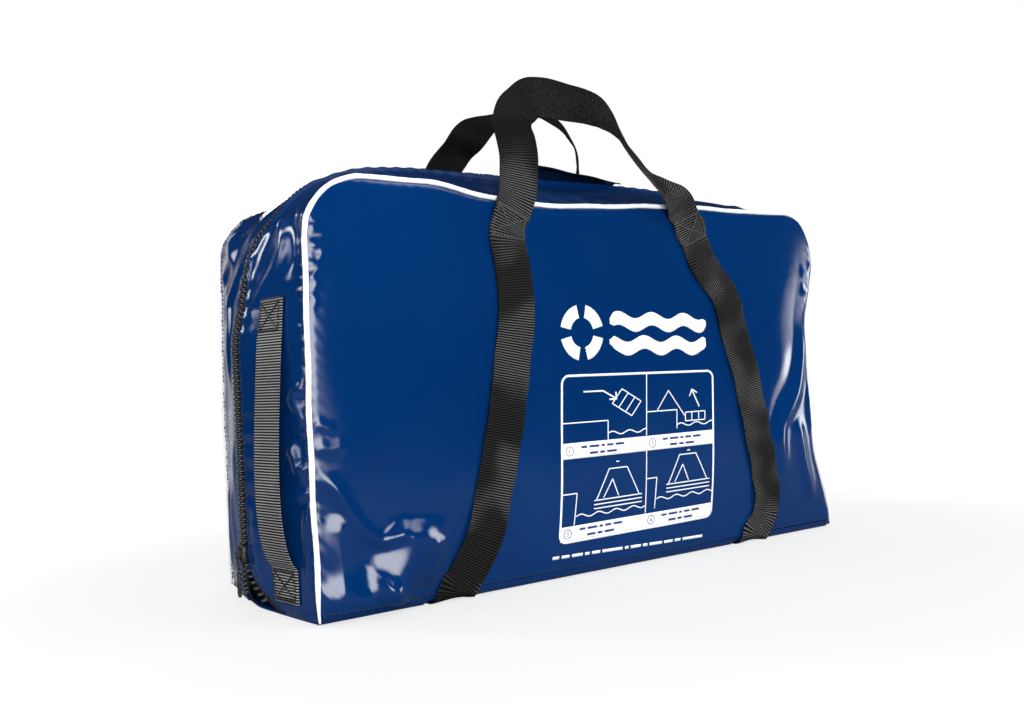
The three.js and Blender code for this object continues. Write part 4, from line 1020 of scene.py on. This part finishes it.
def crossed_box(name, strip, first, last, sign, margin=3.2, wide_as=WEBBING, thick=0.7):
    """A box of stitches with a cross in it, between two places along a strip of webbing."""
    run, centre, wide, face = strip
    w = wide_as / 2 - margin
    corners = [(first, -w), (first, w), (last, w), (last, -w), (first, -w), (last, w),
               (last, -w), (first, w)]
    start, stop = np.array(corners[:-1])[..., None], np.array(corners[1:])[..., None]
    places, over = np.moveaxis(start + (stop - start) * np.linspace(0, 1, 14), 1, 0).reshape(2, -1)
    middle, across_it, up = (sampled(places, run, values) for values in (centre, wide, face * sign))
    path = middle + over[:, None] * across_it + up * (WEBBING_THICK / 2 + 0.15)
    return stitches(name, path, up, 3.0, 0.9, thick)


def sewing_thread(name, deep, pale):
    """Twisted nylon thread."""
    twist = Finish(name, Roughness=0.5, IOR=1.5)
    twist.set(Base_Color=twist.cloud(1200).tint(deep, pale),
              Normal=twist.relief(twist.cloud(2600), 0.0002, 0.5))
    return twist


strap_thread = sewing_thread("strap_thread", (0.020, 0.020, 0.022), (0.095, 0.095, 0.10))
for name, side in (("front", -1), ("back", 1)):
    run, centre, wide, face = carry[name]
    for leg, half, low in (("left", run < run[-1] / 2, 343), ("right", run > run[-1] / 2, 346)):
        z = np.where(half & (np.abs(centre[:, 1]) > HALF_DEPTH - 3), centre[:, 2], -1e3)
        first, last = (run[np.abs(z - height).argmin()] for height in (low, low + 24))
        outer = np.sign((face * [0, side, 0]).sum(1)[np.abs(run - first).argmin()])
        box = crossed_box(f"{name}_{leg}_crossed_box", carry[name], first, last, outer)
        dress(box, strap_thread)

# End handles
# 38 mm webbing on the front half of each end, sewn at its top and foot and bowed off between.
HANDLE_TOP, HANDLE_FOOT, HANDLE_SEWN, HANDLE_WIDE = 288.0, 16.0, 32.0, 38.0


def station_at(side, z, y):
    """Place along the edge where the gusset reaches each height z at its y: on the straight line
    between the two places whose heights lie next below and above it."""
    table = end_places(side)
    heights = band(table[:, None], y[None, :])[..., 2]
    i, pick = (heights < z).sum(0), np.arange(len(z))
    low, high = heights[i - 1, pick], heights[i, pick]
    return table[i - 1] + (table[i] - table[i - 1]) * (z - low) / (high - low)


# painted light: the same black nylon with its rib crowns painted three times paler and nearly
# everywhere, where the end handles catch the light
handle_nylon = ribbed_webbing("end_handle_webbing", 0.30, 0.8, 0.6)
handle_thread = sewing_thread("handle_thread", (0.0006, 0.0006, 0.0007), (0.003, 0.003, 0.003))
for name, side, bow_out in (("left", -1, 11.0), ("right", 1, 19.0)):
    z = np.linspace(HANDLE_FOOT, HANDLE_TOP, 110)
    free = np.clip((z - HANDLE_FOOT - HANDLE_SEWN) / (HANDLE_TOP - HANDLE_FOOT - 2 * HANDLE_SEWN),
                   0, 1)
    bow = 0.8 + bow_out * np.sin(np.pi * free ** 0.55)
    w = np.array([-1, -0.96, -0.85, -0.5, 0, 0.5, 0.85, 0.96, 1.0]) * HANDLE_WIDE / 2
    thick = WEBBING_THICK * np.array([.4, .85, 1, .95, .9, .95, 1, .85, .4])
    middle = 43.0 - HALF_DEPTH + 11.0 * (z - HANDLE_FOOT) / (HANDLE_TOP - HANDLE_FOOT)
    columns = []
    for k, width in enumerate(w):
        ys = middle + width
        s = station_at(side, z, ys)
        cloth_lift = np.maximum(band_creases(s, ys), 0) * (free < 0.02) + 0.3
        p = band(s, ys, bow + cloth_lift + thick[k])
        q = band(s, ys, bow + cloth_lift)
        p[:, 2] = q[:, 2] = z
        columns.append((p, q))
    outer = np.stack([c[0] for c in columns], 1)
    inner = np.stack([c[1] for c in columns], 1)
    run = run_of(outer[:, 4])
    chart = together(run[:, None], w[None, :])
    handle = plate(f"{name}_end_handle_webbing", outer, inner, chart)
    dress(handle, handle_nylon, stands_for=(f"{name}_end_handle",))
    wide = unit(outer[:, -1] - outer[:, 0])
    ahead = unit(np.gradient(outer[:, 4], axis=0))
    face = np.cross(wide, ahead)
    face *= np.sign((face[:, :1] * side).mean())
    strip = (run, outer[:, 4] - face * (WEBBING_THICK / 2 - 0.35), wide, face)
    for where, first, last in (("foot", 3.5, 28.0), ("top", run[-1] - 30.0, run[-1] - 3.5)):
        dress(crossed_box(f"{name}_handle_{where}_box", strip, first, last, 1.0, 3.0, HANDLE_WIDE,
                          0.95), handle_thread)

# Cover flap
# A strip of the blue coated cloth, sewn to the back half of the top. Its face is painted near black
# and its lining a darker blue, as painted shade. It lies over the teeth between the carry loops, and
# its left front corner has lifted.
FLAP_LEFT, FLAP_RIGHT, FLAP_FRONT, FLAP_BACK = -16.0, 116.0, 10.0, 44.0
crest_stations = line_table[(line_table > LEFT_TURN) & (line_table < RIGHT_TURN)]
x = np.linspace(FLAP_LEFT, FLAP_RIGHT, 90)
s = np.interp(x, crest_line[0](crest_stations), crest_stations)[:, None]
t = ((x - FLAP_LEFT) / (FLAP_RIGHT - FLAP_LEFT))[:, None]
k = np.linspace(0, 1, 34)[None, :]
over_teeth = CHAIN_RISE + 3.5
settle = np.clip((k - 0.15) / 0.3, 0, 1)
clear = 1.2 + (over_teeth - 1.2) * settle * settle * (3 - 2 * settle)
lift = clear + 14 * (1 - t) * np.clip(k - 0.3, 0, 1) / 0.7 + 0.5 * np.sin(x / 9)[:, None] * k
y = FLAP_BACK + (-FLAP_FRONT - FLAP_BACK) * k
outer = band(s, y, lift + FABRIC)
inner = band(s, y, lift)
# painted shade: the flap's face near black and its lining darker than the bag's blue cloth
flap_shade_face = coated_cloth("flap_face_painted_shade", (0.004, 0.005, 0.010), (0.010, 0.013, 0.024))
flap_shade_lining = coated_cloth("flap_lining_painted_shade", (0.003, 0.012, 0.045), (0.006, 0.022, 0.075))
flap = plate("top_cover_flap", outer, inner,
             together(x[:, None], y))
dress(flap, flap_shade_face, stands_for=("top_flap",))
flap.data.materials.append(flap_shade_lining.material)
middle = np.empty(len(flap.data.polygons) * 3)
flap.data.polygons.foreach_get("normal", middle)
flap.data.polygons.foreach_set("material_index",
                               (middle.reshape(-1, 3)[:, 2] < -0.2).astype(int))

# Print on the front panel
# White ink, screen printed: a plain lifebuoy beside two waves, a ruled panel of four drawings of a
# raft and the sea with numbered captions, and a thin broken rule under it.
INK = 0.22


def film(x, z, raise_by):
    """Outer and inner points of a thin film of ink over a grid of places on the front panel."""
    skin = -panel_skin(-1, x, z) - raise_by
    return together(x, skin - INK, z), together(x, skin - 0.04, z)


def ink_sheet(name, x, z, finish):
    """A sheet of ink that lies on the front panel."""
    dress(plate(name, *film(x, z, 0.0), together(x, z)), finish)


def ink_lines(name, lines, finish, raise_by=0.0):
    """Ruled lines of ink, joined into one piece: each is a strip of its own width along a path."""
    points, faces, count = [], [], 0
    for width, path in lines:
        path = np.array(path, float)
        run = run_of(path)
        steps = max(3, int(run[-1] / 2.2))
        fine = np.unique(np.concatenate([np.linspace(0, run[-1], steps), run]))
        p = sampled(fine, run, path)
        ahead = np.gradient(p, axis=0)
        ahead /= np.linalg.norm(ahead, axis=1, keepdims=True) + 1e-9
        across_it = np.column_stack([-ahead[:, 1], ahead[:, 0]]) * width / 2
        flat = np.stack([p - across_it, p, p + across_it], 1)
        grids = film(flat[..., 0], flat[..., 1], raise_by)
        points.append(np.vstack([grid.reshape(-1, 3) for grid in grids]))
        faces.append(sheet_faces(*flat.shape[:2]) + count)
        count += len(points[-1])
    points = np.vstack(points)
    piece = sewn_piece(name, points, np.vstack(faces), points[:, [0, 2]] * 0.001)
    dress(piece, finish)


white_ink = Finish("white_print_ink", Roughness=0.45, IOR=1.5)
sheen_and_wear = white_ink.cloud(140, 4, 0.7).ramp(0.62, 0.85) * 0.4
white_ink.set(Base_Color=sheen_and_wear.tint((0.80, 0.82, 0.86), (0.45, 0.52, 0.66)),
              Roughness=white_ink.cloud(50) * 0.2 + 0.32,
              Normal=white_ink.relief(white_ink.cloud(800), 0.0001, 0.4))
blue_ink = Finish("blue_print_ink", Roughness=0.4, IOR=1.5)
blue_ink.set(Base_Color=blue_ink.cloud(200).tint((0.002, 0.022, 0.12), (0.006, 0.035, 0.16)),
             Roughness=blue_ink.cloud(60) * 0.2 + 0.28)


def on_panel(p, q):
    """A place of the printed panel, p across and q down from 0 to 1, on slightly skewed cloth."""
    p, q = np.asarray(p, float), np.asarray(q, float)
    left_x, right_x = -74 - 10 * q, 136 - 8 * q
    left_z, right_z = 204 - 167 * q, 201 - 162 * q
    return left_x + (right_x - left_x) * p, left_z + (right_z - left_z) * p


def drawn(points):
    """A line of panel places as (x, z) on the cloth."""
    p = np.array(points, float)
    return np.column_stack(on_panel(p[:, 0], p[:, 1]))


# the lifebuoy: a ring with four bands left open in it
angle = np.linspace(0, 2 * np.pi, 121)
for quarter in range(4):
    a = np.linspace(np.pi * (quarter / 2 + 0.07), np.pi * (quarter / 2 + 0.43), 30)[:, None]
    r = np.linspace(14.5, 27.5, 8)[None, :]
    ink_sheet(f"lifebuoy_ink_{quarter + 1}", -46 + r * np.cos(a), 247 + 1.04 * r * np.sin(a),
              white_ink)
# the two waves beside it
for k, level in enumerate((258.0, 233.0)):
    x = np.linspace(-9, 129, 90)[:, None] - 1.5 * k
    swell = 3.6 * np.sin((x + 9 + 12 * k) * 2 * np.pi / 46)
    body_of_wave = np.linspace(-7.2, 7.2, 9)[None, :]
    ends = np.clip(np.minimum(x + 9.5, 129.5 - x) / 6, 0.15, 1) ** 0.5
    ink_sheet(f"wave_ink_{k + 1}", x + 0 * body_of_wave,
              level - 0.03 * x + swell + body_of_wave * ends, white_ink)
# caption bands
for k, (top_q, foot_q) in enumerate(((0.405, 0.5), (0.905, 0.995))):
    p, q = np.meshgrid(np.linspace(0.004, 0.996, 90), np.linspace(top_q, foot_q, 9), indexing="ij")
    ink_sheet(f"caption_band_ink_{k + 1}", *on_panel(p, q), white_ink)
corner_turn = np.linspace(0, np.pi / 2, 8)
cx, cq = 0.04, 0.05
frame_line = np.vstack([
    np.column_stack([1 - cx + cx * np.sin(corner_turn), cq - cq * np.cos(corner_turn)]),
    np.column_stack([1 - cx + cx * np.cos(corner_turn), 1 - cq + cq * np.sin(corner_turn)]),
    np.column_stack([cx - cx * np.sin(corner_turn), 1 - cq + cq * np.cos(corner_turn)]),
    np.column_stack([cx - cx * np.cos(corner_turn), cq - cq * np.sin(corner_turn)]),
    [(1 - cx, 0)]])
ruled = [(2.4, drawn(frame_line)), (1.2, drawn([(0.53, 0), (0.53, 0.405)])),
         (1.2, drawn([(0.53, 0.5), (0.53, 0.905)]))]


def sea(left, right, level, size=0.010, length=0.11):
    """A line of waves between two places of the panel."""
    p = np.linspace(left, right, 40)
    return drawn(np.column_stack([p, level - size * np.sin((p - left) * 2 * np.pi / length)]))


def packed_box(middle_p, middle_q, half_p, half_q, turn_by):
    """The outline of a packed raft's box, turned on the drawing, and its two bands."""
    c, s_ = np.cos(turn_by), np.sin(turn_by)
    shape = np.array([(-1, -1), (1, -1), (1, 1), (-1, 1), (-1, -1)]) * [half_p, half_q * 1.2]
    bands = [np.array([(k, -1), (k, 1)]) * [half_p, half_q * 1.2] for k in (-0.35, 0.35)]
    return [drawn(np.column_stack([middle_p + g[:, 0] * c - g[:, 1] * s_,
                                   middle_q + g[:, 0] * s_ + g[:, 1] * c]))
            for g in (shape, *bands)]


def canopy_raft(left, right, level):
    """A raft with its canopy: two tubes under a tent with a door."""
    w = right - left
    tent = [(left + 0.06 * w, level - 0.05), (left + 0.3 * w, level - 0.235),
            (left + 0.66 * w, level - 0.235), (left + 0.92 * w, level - 0.05)]
    door = [(left + 0.2 * w, level - 0.06), (left + 0.37 * w, level - 0.17),
            (left + 0.5 * w, level - 0.06)]
    tubes = [[(left + 0.02 * w, level - q), (right - 0.02 * w, level - q)]
             for q in (0.05, 0.025, 0)]
    return [drawn(g) for g in (tent, door, *tubes)]


quay = [(0.0, 0.285), (0.28, 0.285), (0.28, 0.405)]
ruled += [(1.2, drawn(quay)), (1.2, sea(0.28, 0.53, 0.365))]
ruled += [(1.2, g) for g in packed_box(0.40, 0.18, 0.075, 0.045, 0.6)]
ruled += [(1.6, drawn([(0.13, 0.10), (0.25, 0.10), (0.33, 0.15)])),
          (1.6, drawn([(0.29, 0.155), (0.335, 0.155), (0.33, 0.11)]))]
ruled += [(1.2, drawn([(0.53, 0.25), (0.74, 0.25), (0.74, 0.375)])), (1.2, sea(0.74, 1.0, 0.35))]
ruled += [(1.2, g) for g in packed_box(0.87, 0.30, 0.07, 0.024, 0.0)]
ruled += [(1.2, drawn([(0.80, 0.30), (0.68, 0.12), (0.60, 0.25)])),
          (1.6, drawn([(0.90, 0.24), (0.85, 0.13)])),
          (1.6, drawn([(0.83, 0.165), (0.847, 0.12), (0.885, 0.145)]))]
ruled += [(1.2, drawn([(0.0, 0.71), (0.09, 0.71), (0.08, 0.905)])), (1.2, sea(0.09, 0.53, 0.85))]
ruled += [(1.2, g) for g in canopy_raft(0.19, 0.51, 0.82)]
ruled += [(1.2, drawn([(0.53, 0.68), (0.60, 0.68), (0.59, 0.88)])), (1.2, sea(0.60, 0.995, 0.82))]
ruled += [(1.2, g) for g in canopy_raft(0.66, 0.98, 0.785)]
ruled += [(1.2, drawn([(0.33, 0.545), (0.35, 0.545)])),
          (1.2, drawn([(0.81, 0.525), (0.83, 0.525)]))]
ink_lines("panel_ruling_ink", ruled, white_ink)
# a broken rule under the panel, falling a little to the right
RULE_LEFT, RULE_LEVEL, RULE_FALL = -92.0, 23.5, 0.025
dashes, x = [], RULE_LEFT
for length in (11, 13, 17, 9, 14, 30, 8, 17, 9, 21, 16, 12, 34):
    dashes.append((3.0, [(end, RULE_LEVEL - RULE_FALL * (end - RULE_LEFT))
                         for end in (x, x + length - 3)]))
    x += length
ink_lines("footer_rule_ink", dashes, white_ink)
# number discs and caption lines in blue on the white bands
marks = []
strokes = {1: [[(0.0, -1), (0.0, 1)]],
           2: [[(-.6, -.7), (0, -1), (.6, -.6), (-.6, 1), (.6, 1)]],
           3: [[(-.6, -1), (.6, -1), (0, -.1), (.6, .4), (0, 1), (-.6, .8)]],
           4: [[(.3, 1), (.3, -1), (-.7, .4), (.7, .4)]]}
discs = ((0.045, 0.453), (0.57, 0.453), (0.045, 0.95), (0.57, 0.95))
for number, (p0, q0) in enumerate(discs, 1):
    x0, z0 = on_panel(p0, q0)
    marks.append((0.7, np.column_stack([x0 + 4.6 * np.cos(angle), z0 + 4.6 * np.sin(angle)])))
    for stroke in strokes[number]:
        g = np.array(stroke)
        marks.append((0.7, np.column_stack([x0 + 1.6 * g[:, 0], z0 - 2.2 * g[:, 1]])))
    for lines_q, words in ((q0 - 0.019, (.035, .06, .02, .04, .055)), (q0 + 0.021, (.05, .03, .06))):
        p = p0 + (0.07 if len(words) == 5 else 0.12)
        for word in words:
            marks.append((2.3, drawn([(p, lines_q), (p + word, lines_q)])))
            p += word + 0.014
ink_lines("caption_ink", marks, blue_ink, 0.16)

# Packed raft
# The folded raft with its gas bottle in it, strapped into a firm block, in orange cloth. Below 0.2 m
# it is painted near black, as painted shade where the open zip shows it. It fills the bag and can't
# be seen while the zip is closed.
raft_cloth = Finish("folded_raft_cloth", Roughness=0.6, IOR=1.45)
fold = (raft_cloth.cloud(26, 4, 0.6) * 9.0).sine()
canopy = fold.ramp(-1, 1).tint((0.30, 0.045, 0.012), (0.48, 0.085, 0.02))
# painted shade: the lower part of the raft in near black
tubes = fold.ramp(-1, 1).tint((0.006, 0.006, 0.007), (0.016, 0.016, 0.018))
# the painted shade ends at 0.2 m
high = fold.node("ShaderNodeSeparateXYZ", {}, {0: raft_cloth.place}, 2).ramp(0.195, 0.205)
raft_cloth.set(Base_Color=high.tint(tubes, canopy),
               Normal=raft_cloth.relief(fold, 0.002, 0.6))
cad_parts["packed_raft"].data.materials.clear()
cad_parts["packed_raft"].data.materials.append(raft_cloth.material)

# Floor and light
# A plain white floor under soft studio light: a large box overhead, a low one in front, and narrow
# ones at the left, the right and the rear, which the glossy cloth mirrors.
floor_mesh = bpy.data.meshes.new("studio_floor")
floor_mesh.from_pydata([(-1.3, -1.3, 0), (1.4, -1.3, 0), (1.4, 1.3, 0), (-1.3, 1.3, 0)],
                       [], [(0, 1, 2, 3)])
floor = bpy.data.objects.new("studio_floor", floor_mesh)
bpy.context.collection.objects.link(floor)
pale = Finish("pale_floor", Roughness=0.9, Specular_IOR_Level=0.2, Emission_Strength=1.0)
away = pale.start.node("ShaderNodeVectorMath", {"operation": "LENGTH"}, {0: pale.place}, "Value")
floor_seen = pale.start.node("ShaderNodeLightPath", {}, {}, "Is Camera Ray")
wash = floor_seen * (0.69 + away.ramp(0.45, 1.2) * 0.31)
pale.set(Base_Color=pale.cloud(0.6).tint((0.22, 0.225, 0.23), (0.23, 0.23, 0.235)),
         Emission_Color=wash.tint((0, 0, 0), (1, 1, 1)))
floor.data.materials.append(pale.material)

world = bpy.data.worlds.new("studio")
bpy.context.scene.world = world
world.use_nodes = True
sky = world.node_tree
sky.nodes.clear()
sky_start = Shade(sky)
camera_ray = sky_start.node("ShaderNodeLightPath", {}, {}, "Is Camera Ray")
glossy_ray = sky_start.node("ShaderNodeLightPath", {}, {}, "Is Glossy Ray")
clear_ray = sky_start.node("ShaderNodeLightPath", {}, {}, "Is Transmission Ray")
toward = sky_start.node("ShaderNodeTexCoord", {}, {}, "Generated")
toward_y, toward_z = (sky_start.node("ShaderNodeSeparateXYZ", {}, {0: toward}, k) for k in (1, 2))
# the white backdrop stands behind the bag and over it; the rest of the room is dimmer
backdrop = (toward_y.ramp(0.93, 1.0) * 0.55).top(toward_z.ramp(0.55, 0.95) * 0.3)
AMBIENT, ROOM = 0.62, 0.015
mirrored = glossy_ray * (ROOM + backdrop * (1 - ROOM))
plain = 1 - camera_ray.top(glossy_ray).top(clear_ray)
background = sky.nodes.new("ShaderNodeBackground")
background.inputs[0].default_value = (1, 1, 1, 1)
strength = plain * AMBIENT + mirrored.top(camera_ray.top(clear_ray))
sky.links.new(strength.socket, background.inputs[1])
out = sky.nodes.new("ShaderNodeOutputWorld")
sky.links.new(background.outputs[0], out.inputs[0])


def softbox(name, place, aim, width, height, radiance):
    """A softbox: a flat lamp turned to its aim, whose power is radiance * area * pi."""
    lamp = bpy.data.lights.new(name, "AREA")
    lamp.shape, lamp.size, lamp.size_y = "RECTANGLE", width, height
    lamp.energy = radiance * width * height * np.pi
    box = bpy.data.objects.new(name, lamp)
    back = np.array(place, float) - np.array(aim, float)
    back /= np.linalg.norm(back)
    over = np.cross([0, 0, 1.0], back)
    over /= np.linalg.norm(over)
    matrix = np.eye(4)
    matrix[:3] = np.column_stack([over, np.cross(back, over), back, place])
    box.matrix_world = Matrix(matrix.tolist())
    box.visible_camera = False
    bpy.context.collection.objects.link(box)


softbox("overhead_softbox", (0.9, -1.6, 2.5), (0, 0, 0.2), 1.4, 1.0, 5.0)
softbox("front_low_softbox", (-0.95, -2.1, 0.42), (-0.3, 0, 0.1), 1.2, 0.9, 15.0)
softbox("left_rear_softbox", (-2.2, 2.3, 2.0), (-0.3, 0, 0.3), 0.6, 1.6, 14.0)
softbox("left_softbox", (-3.0, 0.9, 1.1), (-0.3, 0, 0.2), 0.4, 1.7, 10.0)
softbox("rear_softbox", (1.0, 3.0, 1.1), (0, 0, 0.3), 1.6, 0.3, 9.0)
softbox("right_softbox", (3.0, -1.0, 0.6), (0.3, 0, 0.2), 0.45, 1.5, 14.0)
bpy.context.scene.view_settings.view_transform = "Standard"
